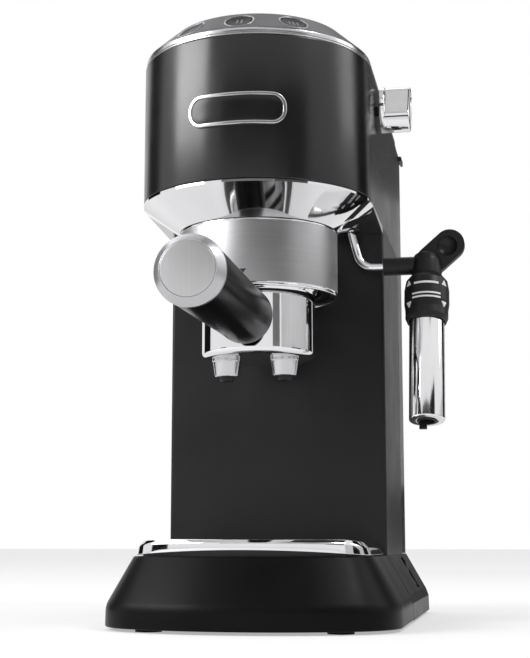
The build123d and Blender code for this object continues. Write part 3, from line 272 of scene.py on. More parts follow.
# Mesh building: points closer than the weld, in metres, become one
WELD = 1e-7
SHARP = 32.0
ROUND_COUNT = 128


def rounded(points, closed=True, steps=5):
    """A profile whose corners are rounded by each point's third value, where it has one."""
    out = []
    last = len(points) - 1
    for i, point in enumerate(points):
        here = Vector(point[:2])
        radius = point[2] if len(point) > 2 else 0.0
        if radius <= 0.0 or (not closed and i in (0, last)):
            out.append(tuple(here))
            continue
        back = (Vector(points[i - 1][:2]) - here).normalized()
        ahead = (Vector(points[(i + 1) % len(points)][:2]) - here).normalized()
        half = back.angle(ahead) / 2
        centre = here + (back + ahead).normalized() * radius / math.sin(half)
        first = here + back * radius / math.tan(half) - centre
        final = here + ahead * radius / math.tan(half) - centre
        for k in range(steps + 1):
            out.append(tuple(centre + first.slerp(final, k / steps).normalized() * radius))
    return out


def piece(name, verts, faces, mat, body, replaced=(), place=None, sharp=SHARP):
    """A shaded mesh object in metres that rides on a body, and stands for CAD nodes if any are named."""
    mesh = bpy.data.meshes.new(name)
    mesh.from_pydata([Vector(v) * MM for v in verts], [], faces)
    work = bmesh.new()
    work.from_mesh(mesh)
    if place:
        shift = Matrix.Translation(place.translation * MM) @ place.to_3x3().to_4x4()
        bmesh.ops.transform(work, matrix=shift, verts=work.verts)
    bmesh.ops.remove_doubles(work, verts=work.verts, dist=WELD)
    bmesh.ops.recalc_face_normals(work, faces=work.faces)
    work.to_mesh(mesh)
    work.free()
    mesh.shade_smooth()
    mesh.set_sharp_from_angle(angle=math.radians(sharp))
    mesh.materials.append(mat)
    obj = bpy.data.objects.new(name, mesh)
    bpy.context.scene.collection.objects.link(obj)
    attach(obj, body)
    if replaced:
        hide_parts(*replaced)
    return obj


def weave(rings, closed=True, caps=(False, False), leave=None):
    """Vertices and faces of a skin over equal rings of points."""
    count = len(rings[0])
    verts = [v for ring in rings for v in ring]
    faces = []
    rows = len(rings) if closed else len(rings) - 1
    for i in range(rows):
        j = (i + 1) % len(rings)
        for k in range(count):
            m = (k + 1) % count
            if leave and leave(i, k):
                continue
            faces.append((i * count + k, i * count + m, j * count + m, j * count + k))
    if caps[0]:
        faces.append(tuple(range(count)))
    if caps[1]:
        faces.append(tuple((len(rings) - 1) * count + k for k in range(count)))
    return verts, faces


def circle(radius, count):
    """Points round a circle."""
    turn = 2 * math.pi / count
    return [(radius * math.cos(k * turn), radius * math.sin(k * turn)) for k in range(count)]


def rings_of(plan, profile):
    """One ring of points per profile point: its plan drawn at the profile's offset and set at its height."""
    return [[(x, y, height) for x, y in plan(offset)] for offset, height in profile]


def lathe(name, profile, mat, body, replaced=(), place=None, caps=(False, False), count=ROUND_COUNT):
    """A turned piece from an open profile of radius and height."""
    verts, faces = weave(rings_of(lambda r: circle(r, count), profile), False, caps)
    return piece(name, verts, faces, mat, body, replaced, place)


def arc(x, y, radius, start, end, steps):
    """Points on an arc, angles in degrees."""
    turns = [math.radians(start + (end - start) * k / steps) for k in range(steps + 1)]
    return [(x + radius * math.cos(t), y + radius * math.sin(t)) for t in turns]


def line(a, b, steps):
    """Points between two ends, without the ends."""
    return [(a[0] + (b[0] - a[0]) * k / steps, a[1] + (b[1] - a[1]) * k / steps) for k in range(1, steps)]


# Steps of a mesh along the bow, sides and corners of a plan
BOW_STEPS = 96
SIDE_STEPS = 6
CORNER_STEPS = 8


def u_plan(radius, back):
    """Plan of the head: a half circle in front and straight sides."""
    left, right = (-radius, back), (radius, back)
    bow = arc(0.0, 0.0, radius, 0.0, -180.0, BOW_STEPS)
    return bow + line(bow[-1], left, SIDE_STEPS) + [left, right] + line(right, bow[0], SIDE_STEPS)


def slab_plan(x0, x1, y0, y1, radius, steps, long=1):
    """A rectangle with round corners, whose long sides are cut into equal steps."""
    left, right = x0 + radius, x1 - radius
    out = arc(right, y1 - radius, radius, 0, 90, steps) + line((right, y1), (left, y1), long)
    out += arc(left, y1 - radius, radius, 90, 180, steps)
    out += arc(left, y0 + radius, radius, 180, 270, steps) + line((left, y0), (right, y0), long)
    return out + arc(right, y0 + radius, radius, 270, 360, steps)


# Plan of the base
BASE_W = base_hi.x
BASE_FRONT = tray_lo.y
BASE_ARC = 118.0
BASE_CORNER = 37.0
BASE_SIDE_STEPS = 8
BASE_CORNER_STEPS = 24
BASE_FRONT_STEPS = 64
BASE_BACK_STEPS = 12
ARC_Y = BASE_FRONT + BASE_ARC
CORNER_X = BASE_W - BASE_CORNER
CORNER_Y = ARC_Y - math.sqrt((BASE_ARC - BASE_CORNER) ** 2 - CORNER_X**2)
CORNER_TURN = math.degrees(math.atan2(CORNER_Y - ARC_Y, CORNER_X))


def d_plan(inset, back):
    """Plan of the base: a shallow front arc that runs through round corners into straight sides."""
    half = BASE_W - inset
    corner = BASE_CORNER - inset
    out = line((half, back), (half, CORNER_Y), BASE_SIDE_STEPS)
    out += arc(CORNER_X, CORNER_Y, corner, 0.0, CORNER_TURN, BASE_CORNER_STEPS)
    out += arc(0.0, ARC_Y, BASE_ARC - inset, CORNER_TURN, -180.0 - CORNER_TURN, BASE_FRONT_STEPS)[1:]
    out += arc(-CORNER_X, CORNER_Y, corner, -180.0 - CORNER_TURN, -180.0, BASE_CORNER_STEPS)[1:]
    out += line((-half, CORNER_Y), (-half, back), BASE_SIDE_STEPS) + [(-half, back)]
    return out + line((-half, back), (half, back), BASE_BACK_STEPS) + [(half, back)]


# Head, column, trim and blank front plate; a profile's third value is the corner's radius
# Tops of the front plate and the skirt stay this far inside their solids
INSIDE = 0.02
SHEET = 1.2
head_in = HEAD_R - SHEET
head_wall = rounded([
    (HEAD_R, HEAD_Z0, 0.5),
    (HEAD_R, HEAD_Z1, 0.9),
    (head_in, HEAD_Z1, 0.2),
    (head_in, HEAD_Z0, 0.2),
])
verts, faces = weave(rings_of(lambda r: u_plan(r, SEAM_Y), head_wall))
piece("head_skin", verts, faces, MATERIALS["black_paint"], "machine", ["head_shell"])

COL_CORNER = 1.8
COL_CORNER_SHARE = 0.8
column_wall = rounded([(0.0, col_lo.z), (0.0, col_hi.z, 0.3), (SHEET, col_hi.z, 0.2), (SHEET, col_lo.z)])


def column_plan(inset):
    """Plan of the column: small round corners in front, open to the tank behind."""
    right, left = HEAD_R - inset, inset - HEAD_R
    front = col_lo.y + inset
    corner = COL_CORNER - inset * COL_CORNER_SHARE
    out = [(right, col_hi.y)] + line((right, col_hi.y), (right, front + corner), SIDE_STEPS)
    out += arc(right - corner, front + corner, corner, 0.0, -90.0, CORNER_STEPS)
    out += arc(left + corner, front + corner, corner, -90.0, -180.0, CORNER_STEPS)
    return out + line((left, front + corner), (left, col_hi.y), SIDE_STEPS) + [(left, col_hi.y)]


verts, faces = weave(rings_of(column_plan, column_wall))
piece("column_skin", verts, faces, COLUMN_BLACK, "machine", ["column_shell"])

TRIM_R = trim_hi.x
TRIM_WALL = 2.4
TRIM_GAP = 0.05
GROOVE = 0.5
GROOVE_RISE = 0.7
GROOVE_TALL = 0.5
GROOVE_SLOPE = 0.1
trim_in = TRIM_R - TRIM_WALL
trim_foot = HEAD_Z1 + TRIM_GAP
trim_seat = head_in - TRIM_GAP
groove_in = TRIM_R - GROOVE
groove_z = trim_foot + GROOVE_RISE
groove_top = groove_z + GROOVE_TALL
trim_edge = rounded([
    (TRIM_R, trim_foot, 0.3),
    (TRIM_R, groove_z, 0.1),
    (groove_in, groove_z + GROOVE_SLOPE),
    (groove_in, groove_top - GROOVE_SLOPE),
    (TRIM_R, groove_top, 0.2),
    (TRIM_R, trim_hi.z, 0.9),
    (trim_in, trim_hi.z, 0.3),
    (trim_in, trim_lo.z, 0.3),
    (trim_seat, trim_lo.z, 0.3),
    (trim_seat, trim_foot, 0.2),
])
verts, faces = weave(rings_of(lambda r: u_plan(r, SEAM_Y), trim_edge))
piece("trim_band", verts, faces, TRIM_SATIN, "machine", ["top_trim"])


def on_drum(radius, run, z):
    """A point on an upright drum, by the way round it from the front."""
    turn = run / radius
    return (radius * math.sin(turn), -radius * math.cos(turn), z)


PLATE_T = -plate_lo.y - HEAD_R
PLATE_BORDER = 1.9
PLATE_ROUND = 7.4
PLATE_CORNER_STEPS = 10
PLATE_LONG_STEPS = 32
BORDER_FOOT = 0.2
FIELD_FOOT = 0.4
FIELD_LIFT = 0.9
FIELD_IN = 5.4
plate_half = HEAD_R * math.asin(plate_hi.x / (HEAD_R + PLATE_T))
plate_mid = (plate_lo.z + plate_hi.z) / 2


def plate_rings(profile):
    """Rings of a blank plate wrapped round the head, one per inset and lift."""
    out = []
    for inset, lift in profile:
        low, high = plate_lo.z + inset, plate_hi.z - inset
        half = plate_half - inset
        plan = slab_plan(-half, half, low, high, PLATE_ROUND - inset, PLATE_CORNER_STEPS, PLATE_LONG_STEPS)
        out.append([on_drum(HEAD_R + lift, x * (HEAD_R + lift) / HEAD_R, z) for x, z in plan])
    return out


border_top = PLATE_T - INSIDE
border = rounded([
    (0.0, 0.0),
    (0.0, border_top, 0.5),
    (PLATE_BORDER, border_top, 0.4),
    (PLATE_BORDER, BORDER_FOOT),
], closed=False)
verts, faces = weave(plate_rings(border), closed=False)
piece("plate_border", verts, faces, TRIM_SATIN, "machine", ["front_plate"])
field = [(PLATE_BORDER, FIELD_FOOT), (PLATE_BORDER, FIELD_LIFT, 0.2), (FIELD_IN, FIELD_LIFT)]
field_rings = plate_rings(rounded(field, closed=False))
spine = [(x, y, plate_mid) for x, y, z in field_rings[-1]]
verts, faces = weave(field_rings + [spine], closed=False)
piece("plate_field", verts, faces, MATERIALS["front_blank"], "machine", ["front_plate"])

# Keys in the sloped panel: cap, bright hoop and a generic mark of one to three bars
PANEL_RUN = 13.8
PANEL_MID = panel_hi.x - PANEL_RUN / 2
KEY_R = 6.5
KEY_STEP = 30.3
KEY_TOP = -0.3
KEY_LOW = -4.0
KEY_COUNT = 64
DISH_R = 4.6
DISH_EDGE = 0.15
DISH_MID_R = 0.3
DISH_DEPTH = 0.5
HOOP_IN = KEY_R + 0.3
HOOP_LEAN = 0.05
HOOP_CREST = KEY_R + 0.9
HOOP_OUT = KEY_R + 1.3
HOOP_FOOT = -1.2
HOOP_SHOULDER = -0.2
HOOP_TOP = 0.08
HOOP_EDGE = -0.3
BAR_STEP = 2.2
BAR_HALF = 1.9
BAR_ROUND = 0.9
BAR_CORNER_STEPS = 4
panel_z = (trim_hi.z + panel_hi.z) / 2
slope = math.atan2(PANEL_RUN, panel_hi.z - trim_hi.z)
# Half width and height of a bar at its foot and at its face
BAR_LEVELS = ((0.55, KEY_TOP - 0.6), (0.45, KEY_TOP - 0.3))


def key_place(turn):
    """Frame of a key: its own Z points out of the slope."""
    spot = Matrix.Translation((0.0, -PANEL_MID, panel_z)) @ Matrix.Rotation(math.pi / 2 - slope, 4, "X")
    return Matrix.Rotation(math.radians(turn), 4, "Z") @ spot


def key_bar(name, x, body, place):
    """One bar of a key's mark."""
    rows = []
    for half, z in BAR_LEVELS:
        end = BAR_HALF + half
        plan = slab_plan(x - half, x + half, -end, end, half * BAR_ROUND, BAR_CORNER_STEPS)
        rows.append([(px, py, z) for px, py in plan])
    verts, faces = weave(rows, closed=False, caps=(True, True))
    piece(name, verts, faces, KEY_MARK, body, (), place)


key_cap = rounded([
    (DISH_MID_R, KEY_TOP - DISH_DEPTH),
    (DISH_R, KEY_TOP - DISH_EDGE, 1.0),
    (KEY_R, KEY_TOP, 0.5),
    (KEY_R, KEY_LOW),
], closed=False)
key_hoop = rounded([
    (HOOP_IN, HOOP_FOOT),
    (HOOP_IN + HOOP_LEAN, HOOP_SHOULDER, 0.2),
    (HOOP_CREST, HOOP_TOP, 0.2),
    (HOOP_OUT, HOOP_EDGE),
], closed=False)
cap_black = MATERIALS["button_dark"]
for side, turn, bars in (("left", -KEY_STEP, 1), ("middle", 0.0, 2), ("right", KEY_STEP, 3)):
    place = key_place(turn)
    body = f"{side}_button"
    lathe(f"key_{side}", key_cap, cap_black, body, [f"button_{side}"], place, (True, True), KEY_COUNT)
    lathe(f"key_ring_{side}", key_hoop, MATERIALS["works_metal"], "machine", (), place, count=KEY_COUNT)
    for k in range(bars):
        key_bar(f"key_mark_{side}_{k}", (k - (bars - 1) / 2) * BAR_STEP, body, place)

# Bright skirt: rim, round cone, and corners that slope down to the column
SKIRT_RIM = 1.7
WEDGE_DROP = 3.0
SKIRT_Y = skirt_hi.y
SKIRT_Z = skirt_hi.z - SKIRT_RIM
CONE_RISE = (SKIRT_Z - skirt_lo.z) / (HEAD_R - RING_R)
WEDGE_FALL = WEDGE_DROP / SKIRT_Y
SOCKET_HOLE = 6.75
SKIRT_STEPS = 8
SKIRT_RAYS = 240
SKIRT_SHARP = 15.0
TINY = 0.001
# Folds of the rim: share of the outline, and depth below the top
SKIRT_FOLDS = ((1.0, 0.5), (0.99, 0.4), (0.97, 0.0))
socket_at = Vector(((socket_lo.x + socket_hi.x) / 2, (socket_lo.y + socket_hi.y) / 2))
skirt_corner = math.degrees(math.atan2(SKIRT_Y, HEAD_R))
skirt_turns = [k * 360.0 / SKIRT_RAYS - 180.0 for k in range(SKIRT_RAYS)]
skirt_turns = sorted(skirt_turns + [skirt_corner, 180.0 - skirt_corner])


def skirt_reach(turn, step):
    """Way from the brew axis: out along the cone first, then along the sloped corner to the outline."""
    across, along = math.cos(math.radians(turn)), math.sin(math.radians(turn))
    edge = crease = HEAD_R
    if along > 0.0:
        edge = min(HEAD_R / max(abs(across), TINY), SKIRT_Y / max(along, TINY))
        crease = min(CONE_RISE * HEAD_R / (CONE_RISE + WEDGE_FALL * along), edge)
    if step <= SKIRT_STEPS:
        return RING_R + (crease - RING_R) * step / SKIRT_STEPS
    return crease + (edge - crease) * (step - SKIRT_STEPS) / SKIRT_STEPS


def skirt_spot(turn, step):
    """A point of the underside in plan, moved out of the hole round the wand's socket."""
    reach = skirt_reach(turn, step)
    spot = Vector((math.cos(math.radians(turn)), math.sin(math.radians(turn)))) * reach
    off = spot - socket_at
    inside = off.length < SOCKET_HOLE
    return socket_at + off.normalized() * SOCKET_HOLE if inside else spot, inside


def skirt_height(spot):
    """Height of the underside: the cone or the sloped corner, whichever is lower."""
    cone = skirt_lo.z + CONE_RISE * (spot.length - RING_R)
    return min(cone, SKIRT_Z - WEDGE_FALL * max(spot.y, 0.0))


skirt_spots = [[skirt_spot(turn, step) for turn in skirt_turns] for step in range(2 * SKIRT_STEPS + 1)]


def in_socket(i, k):
    """True for a face whose corners were all inside the hole."""
    m = (k + 1) % len(skirt_turns)
    return all(skirt_spots[row][col][1] for row in (i, i + 1) for col in (k, m))


def in_corner_socket(i, k):
    """The same for the rows of the sloped corners, which follow those of the cone."""
    return in_socket(i + SKIRT_STEPS, k)


underside = [[(spot.x, spot.y, skirt_height(spot)) for spot, inside in row] for row in skirt_spots]
outline = [spot for spot, inside in skirt_spots[-1]]
skirt_top = skirt_hi.z - INSIDE
skirt_edge = underside[-1:]
for share, drop in SKIRT_FOLDS:
    skirt_edge.append([(spot.x * share, spot.y * share, skirt_top - drop) for spot in outline])
verts, faces = weave(underside[: SKIRT_STEPS + 1], closed=False, leave=in_socket)
piece("skirt_cone", verts, faces, MATERIALS["chrome"], "machine", ["chrome_skirt"], sharp=SKIRT_SHARP)
verts, faces = weave(underside[SKIRT_STEPS:], closed=False, leave=in_corner_socket)
piece("skirt_corners", verts, faces, TRIM_SATIN, "machine", ["chrome_skirt"], sharp=SKIRT_SHARP)
verts, faces = weave(skirt_edge, closed=False)
piece("skirt_rim", verts, faces, MATERIALS["chrome"], "machine", ["chrome_skirt"], sharp=SKIRT_SHARP)

# Brew group: brushed ring between a bright bead and a bright lip, a near-black inside as painted shade, and
# its mark
BEAD = 1.3
BEAD_STEP = 0.5
BEAD_TOP_STEP = 1.0
BEAD_SLOPE = 0.3
BEAD_SHOULDER = 0.5
BEAD_LAP = 0.1
LIP = 2.0
LIP_GROOVE = 0.4
LIP_W = 2.2
LIP_INNER = 1.2
RING_SINK = 0.05
RING_WALL = 3.4
bead_z = ring_hi.z - BEAD
lip_z = ring_lo.z + LIP
wall_r = RING_R - RING_SINK
wall = rounded([
    (RING_R - BEAD_STEP, bead_z + BEAD_LAP),
    (wall_r, bead_z, 0.2),
    (wall_r, lip_z),
], closed=False)
lathe("ring_wall", wall, MATERIALS["brushed"], "machine", ["brew_ring"])
bead = rounded([
    (RING_R - BEAD_TOP_STEP, ring_hi.z),
    (RING_R - BEAD_STEP, ring_hi.z - BEAD_SLOPE),
    (RING_R, ring_hi.z - BEAD_SHOULDER, 0.3),
    (RING_R, bead_z, 0.3),
    (RING_R - BEAD_STEP, bead_z),
], closed=False)
lathe("ring_bead", bead, MATERIALS["chrome"], "machine", ["brew_ring"])
lip = rounded([
    (RING_R, lip_z),
    (RING_R - LIP_GROOVE, lip_z - LIP_GROOVE),
    (RING_R, lip_z - 2 * LIP_GROOVE, 0.2),
    (RING_R, ring_lo.z, 0.7),
    (RING_R - LIP_W, ring_lo.z, 0.4),
    (RING_R - LIP_W, ring_lo.z + LIP_INNER),
], closed=False)
lathe("ring_lip", lip, MATERIALS["chrome"], "machine", ["brew_ring"])
# Inner wall and foot of the ring in near-black: painted shade under the brew group
INNER_EDGE = 1.0
INNER_TURN = 0.4
INNER_FOOT = ring_lo.z + 0.7
INNER_SLOPE = ring_lo.z + 0.9
INNER_WALL = ring_lo.z + 1.6
INNER_TOP = ring_lo.z + 6.0
ring_in = RING_R - RING_WALL
inner = rounded([
    (RING_R - INNER_EDGE, INNER_FOOT),
    (ring_in + INNER_TURN, INNER_SLOPE, 0.3),
    (ring_in, INNER_WALL),
    (ring_in, INNER_TOP),
], closed=False)
lathe("ring_inner_painted_shade", inner, MATERIALS["grille_black"], "machine", ["brew_ring"])
RING_MARK_Z = ring_lo.z + 7.4
RING_MARK_HALF = 1.7
RING_MARK_TOP = RING_MARK_Z + 1.0
RING_MARK_TIP = RING_MARK_Z - 1.1
RING_MARK_LIFTS = (-0.3, 0.08)
ring_mark = [(-RING_MARK_HALF, RING_MARK_TOP), (RING_MARK_HALF, RING_MARK_TOP), (0.0, RING_MARK_TIP)]
rows = [[on_drum(RING_R + lift, run, z) for run, z in ring_mark] for lift in RING_MARK_LIFTS]
verts, faces = weave(rows, closed=False, caps=(False, True))
piece("ring_mark", verts, faces, MARK_DARK, "machine")

# Portafilter: bowl with lugs, neck and spouts
PF_R = 29.6
PF_FLANGE = PF_R + 2.7
PF_IN = PF_FLANGE - 4.6
BOWL_MID_R = 2.0
BOWL_FLOOR = pf_lo.z + 4.3
BOWL_STEPS = 8
FLARE_Z = ring_lo.z + 1.2
FLARE_TALL = 3.0
bowl = rounded([
    (BOWL_MID_R, pf_lo.z),
    (PF_R, pf_lo.z, 3.4),
    (PF_R, FLARE_Z, 1.5),
    (PF_FLANGE, FLARE_Z + FLARE_TALL, 0.6),
    (PF_FLANGE, pf_hi.z, 0.4),
    (PF_IN, pf_hi.z, 0.4),
    (PF_IN, BOWL_FLOOR, 2.0),
    (BOWL_MID_R, BOWL_FLOOR),
], closed=False, steps=BOWL_STEPS)
lathe("bowl", bowl, MATERIALS["chrome"], "portafilter", ["portafilter_body"], None, (True, True))
LUG_COUNT = 3
LUG_R = 37.4
LUG_TOP = pf_hi.z - 0.4
LUG_LOW = LUG_TOP - 3.4
LUG_HALF = 9.2
LUG_FIRST = -90.0
LUG_TURN = 120.0
LUG_ROOT = PF_FLANGE - 0.6
LUG_FACE = 1.5
LUG_STEPS = 10


def lug_plan(inset, middle):
    """Plan of one bayonet lug, a short arc on the rim of the bowl."""
    half = LUG_HALF - math.degrees(inset / LUG_R)
    outer = arc(0.0, 0.0, LUG_R - inset, middle - half, middle + half, LUG_STEPS)
    return outer + arc(0.0, 0.0, LUG_ROOT, middle + half, middle - half, LUG_STEPS)


lug = rounded([
    (LUG_FACE, LUG_LOW),
    (0.0, LUG_LOW, 0.5),
    (0.0, LUG_TOP, 0.5),
    (LUG_FACE, LUG_TOP),
], closed=False)
for k in range(LUG_COUNT):
    middle = LUG_FIRST + k * LUG_TURN
    verts, faces = weave(rings_of(lambda inset: lug_plan(inset, middle), lug), False, (True, True))
    piece(f"lug_{k}", verts, faces, MATERIALS["chrome"], "portafilter", ["portafilter_body"])

HANDLE_Z = (grip_lo.z + grip_hi.z) / 2
GRIP_0, GRIP_1 = -grip_hi.y, -grip_lo.y
GRIP_LAP = GRIP_0 + 0.9
NECK_R = 9.0
NECK_BORE = 4.0
NECK_ROOT = PF_R - 4.0
to_handle = Matrix.Translation((0.0, 0.0, HANDLE_Z)) @ Matrix.Rotation(math.pi / 2, 4, "X")
neck = rounded([(NECK_R, NECK_ROOT), (NECK_R, GRIP_LAP, 0.4), (NECK_BORE, GRIP_LAP)], closed=False)
lathe("neck", neck, MATERIALS["chrome"], "portafilter", ["portafilter_body"], to_handle, (False, True))
SPOUT_X = 15.2
SPOUT_Y = (spout_lo.y + spout_hi.y) / 2
SPOUT_R = spout_hi.x - SPOUT_X
SPOUT_END = SPOUT_R - 1.5
SPOUT_BORE = 2.6
SPOUT_BAND = 1.7
SPOUT_STEP = 0.4
SPOUT_STEP_Z = 2.2
SPOUT_COUNT = 64
TIP_R = tip_hi.x - SPOUT_X
TIP_BORE = 1.8
TIP_TAPER = 0.2
TIP_COUNT = 48
spout_top, spout_low = spout_hi.z + 0.2, spout_lo.z
TIP_SHOULDER = spout_low + 0.3
TIP_INNER = spout_low + 1.2
TIP_TOP = spout_low + 1.5
flare = rounded([
    (SPOUT_BORE, spout_top),
    (SPOUT_R, spout_top),
    (SPOUT_R, spout_top - SPOUT_BAND, 0.3),
    (SPOUT_R - SPOUT_STEP, spout_top - SPOUT_STEP_Z, 0.3),
    (SPOUT_END, spout_low, 0.8),
    (SPOUT_BORE, spout_low),
], closed=False)
nib = rounded([
    (TIP_BORE, TIP_TOP),
    (TIP_R, TIP_SHOULDER),
    (TIP_R - TIP_TAPER, tip_lo.z, 1.4),
    (TIP_BORE, tip_lo.z, 0.4),
    (TIP_BORE, TIP_INNER),
], closed=False)
tip_black = MATERIALS["grille_black"]
for side, x in (("left", -SPOUT_X), ("right", SPOUT_X)):
    at = Matrix.Translation((x, SPOUT_Y, 0.0))
    lathe(f"spout_{side}", flare, SPOUT_SATIN, "portafilter", ["spouts"], at, count=SPOUT_COUNT)
    lathe(f"spout_tip_{side}", nib, tip_black, "portafilter", ["spout_tips"], at, count=TIP_COUNT)

# Handle: swelling grip, bezel and brushed end disc
HANDLE_R = 14.3
HANDLE_BORE = 9.2
SWELL_Z = GRIP_0 + 24.0
SWELL_ROUND = 30.0
END_R = bezel_hi.x
DISC_R = disc_hi.x
GRIP_END = END_R - 0.3
GRIP_STEPS = 10
GRIP_LIP = GRIP_END - 3.0
grip_face = GRIP_1 - 0.2
grip = rounded([
    (HANDLE_BORE, GRIP_LAP),
    (HANDLE_BORE, GRIP_0, 0.3),
    (HANDLE_R, GRIP_0, 2.2),
    (HANDLE_R, SWELL_Z, SWELL_ROUND),
    (GRIP_END, grip_face, 0.15),
    (GRIP_LIP, grip_face),
], closed=False, steps=GRIP_STEPS)
lathe("grip", grip, MATERIALS["handle_black"], "portafilter", ["handle"], to_handle)
BEZEL_FOOT = END_R - 0.4
BEZEL_RISE = GRIP_1 + 0.7
BEZEL_WALL = GRIP_1 + 2.4
BEZEL_FACE = DISC_R + 0.35
BEZEL_IN = DISC_R - 0.1
BEZEL_DROP = 0.1
DISC_SINK = 1.5
DISC_EDGE = DISC_R - 0.15
DISC_MID_R = 0.5
bezel_end = -bezel_lo.y
disc_face = -disc_lo.y
bezel = rounded([
    (GRIP_LIP, GRIP_1),
    (BEZEL_FOOT, GRIP_1, 0.15),
    (END_R, BEZEL_RISE, 0.3),
    (END_R, BEZEL_WALL, 0.6),
    (BEZEL_FACE, bezel_end, 0.3),
    (BEZEL_IN, bezel_end - BEZEL_DROP, 0.1),
    (BEZEL_IN, bezel_end - DISC_SINK),
], closed=False)
lathe("bezel", bezel, BEZEL_SATIN, "portafilter", ["handle_ring"], to_handle)
disc = rounded([
    (DISC_EDGE, bezel_end - DISC_SINK),
    (DISC_EDGE, disc_face, 0.3),
    (DISC_MID_R, disc_face),
], closed=False)
lathe("disc", disc, DISC_STEEL, "portafilter", ["handle_disc"], to_handle, (False, True))

# Steam knob: disc with a long rounded grip bar
KNOB_R = 12.6
KNOB_BORE = 3.2
KNOB_DISC = 3.2
KNOB_BAR = 29.0
KNOB_W = 14.0
KNOB_TURN = 62.0
KNOB_COUNT = 96
KNOB_END_STEPS = 24
KNOB_LEN = knob_hi.x - knob_lo.x
BAR_ROOT = KNOB_DISC - 1.0
BAR_FACE = 2.4
BAR_DISH = 2.7
BAR_DISH_DEPTH = 0.3
knob_at = Vector((knob_lo.x, (knob_lo.y + knob_hi.y) / 2, (knob_lo.z + knob_hi.z) / 2))
upright = Matrix.Rotation(math.pi / 2, 4, "Y") @ Matrix.Rotation(math.pi / 2, 4, "Z")
to_knob = Matrix.Translation(knob_at) @ upright
rosette = rounded([
    (KNOB_BORE, 0.0),
    (KNOB_R, 0.0, 0.4),
    (KNOB_R, KNOB_DISC, 0.8),
    (KNOB_BORE, KNOB_DISC),
], closed=False)
lathe("knob_disc", rosette, MATERIALS["chrome"], "knob", ["steam_knob"], to_knob, count=KNOB_COUNT)


def bar_plan(inset):
    """Plan of the knob's bar: straight sides and half-round ends."""
    half = KNOB_BAR / 2 - KNOB_W / 2
    radius = KNOB_W / 2 - inset
    right = arc(half, 0.0, radius, -90.0, 90.0, KNOB_END_STEPS)
    return right + arc(-half, 0.0, radius, 90.0, 270.0, KNOB_END_STEPS)


bar = rounded([
    (0.0, BAR_ROOT),
    (0.0, KNOB_LEN, 1.2),
    (BAR_FACE, KNOB_LEN, 0.1),
    (BAR_DISH, KNOB_LEN - BAR_DISH_DEPTH),
], closed=False)
verts, faces = weave(rings_of(bar_plan, bar), closed=False, caps=(False, True))
bar_place = to_knob @ Matrix.Rotation(math.radians(KNOB_TURN), 4, "Z")
piece("knob_bar", verts, faces, MATERIALS["chrome"], "knob", ["steam_knob"], bar_place)

# Steam wand: sleeve, drum above the selector, and the selector's marks
SEL_0 = 7.6
SEL_R = 12.2
SLEEVE_R = 9.5
SLEEVE_0 = 31.0
SLEEVE_1 = 90.4
SLEEVE_TOP_R = SLEEVE_R - 3.0
SLEEVE_WALL = 0.8
SLEEVE_COLLAR = 5.0
COLLAR_R = 6.4
MOUTH_R = 5.2
PIPE_R = 2.4
WAND_TILT = 14.0
WAND_X = (selector_lo.x + selector_hi.x) / 2
BALL_Y = (socket_lo.y + socket_hi.y) / 2
ARM_Z = pipe_lo.z + PIPE_R
wand_turn = Matrix.Rotation(math.radians(180.0 - WAND_TILT), 4, "X")
to_wand = Matrix.Translation((WAND_X, BALL_Y, ARM_Z)) @ wand_turn
sleeve_in = SLEEVE_R - SLEEVE_WALL
sleeve_mouth = SLEEVE_1 - SLEEVE_WALL
sleeve_collar = SLEEVE_0 + SLEEVE_COLLAR
sleeve = rounded([
    (SLEEVE_TOP_R, SLEEVE_0),
    (SLEEVE_R, SLEEVE_0, 0.3),
    (SLEEVE_R, SLEEVE_1, 0.9),
    (MOUTH_R, SLEEVE_1, 0.5),
    (MOUTH_R, sleeve_mouth, 0.2),
    (sleeve_in, sleeve_mouth),
    (sleeve_in, sleeve_collar),
    (COLLAR_R, sleeve_collar),
    (COLLAR_R, SLEEVE_0),
], closed=False)
lathe("sleeve", sleeve, MATERIALS["sleeve_steel"], "sleeve", ["froth_sleeve"], to_wand)

DRUM_R = 8.2
DRUM_TOP = -5.6
DRUM_BORE = 2.6
DRUM_TOP_R = DRUM_R - 1.4
DRUM_SHOULDER = DRUM_TOP + 4.0
drum_foot = SEL_0 - 0.4
drum = rounded([
    (DRUM_BORE, DRUM_TOP),
    (DRUM_TOP_R, DRUM_TOP, 1.2),
    (DRUM_R, DRUM_SHOULDER, 3.0),
    (DRUM_R, drum_foot, 0.6),
    (DRUM_BORE, drum_foot),
], closed=False)
lathe("wand_drum", drum, MATERIALS["control_black"], "wand", (), to_wand)
MARK_LIFT = 0.1
MARK_SINK = 0.6
MARK_HALF = 1.9
MARK_TIP = 0.03
MARK_CUTS = 10


def on_barrel(run, lift, z):
    """A point round the selector's barrel; run 0 faces the front and z counts from the barrel's top."""
    turn = run / SEL_R
    reach = SEL_R + lift
    return (reach * math.sin(turn), reach * math.cos(turn), SEL_0 + z)


def barrel_mark(name, cuts):
    """A white mark printed round the selector, given as cuts of run, low and high."""
    rings = []
    for run, low, high in cuts:
        section = ((-MARK_SINK, low), (MARK_LIFT, low), (MARK_LIFT, high), (-MARK_SINK, high))
        rings.append([on_barrel(run, lift, z) for lift, z in section])
    verts, faces = weave(rings, closed=False, caps=(True, True))
    piece(name, verts, faces, MARK_WHITE, "selector", (), to_wand)


def triangle(run, foot, tip):
    """Cuts of a triangle that points from its foot to its tip."""
    sides = [2.0 * k / MARK_CUTS - 1.0 for k in range(MARK_CUTS + 1)]
    return [(run + MARK_HALF * s, foot, foot + (tip - foot) * max(1.0 - abs(s), MARK_TIP)) for s in sides]


def bar_cuts(left, right, low, high):
    """Cuts of a bar."""
    runs = [left + (right - left) * k / MARK_CUTS for k in range(MARK_CUTS + 1)]
    return [(run, low, high) for run in runs]


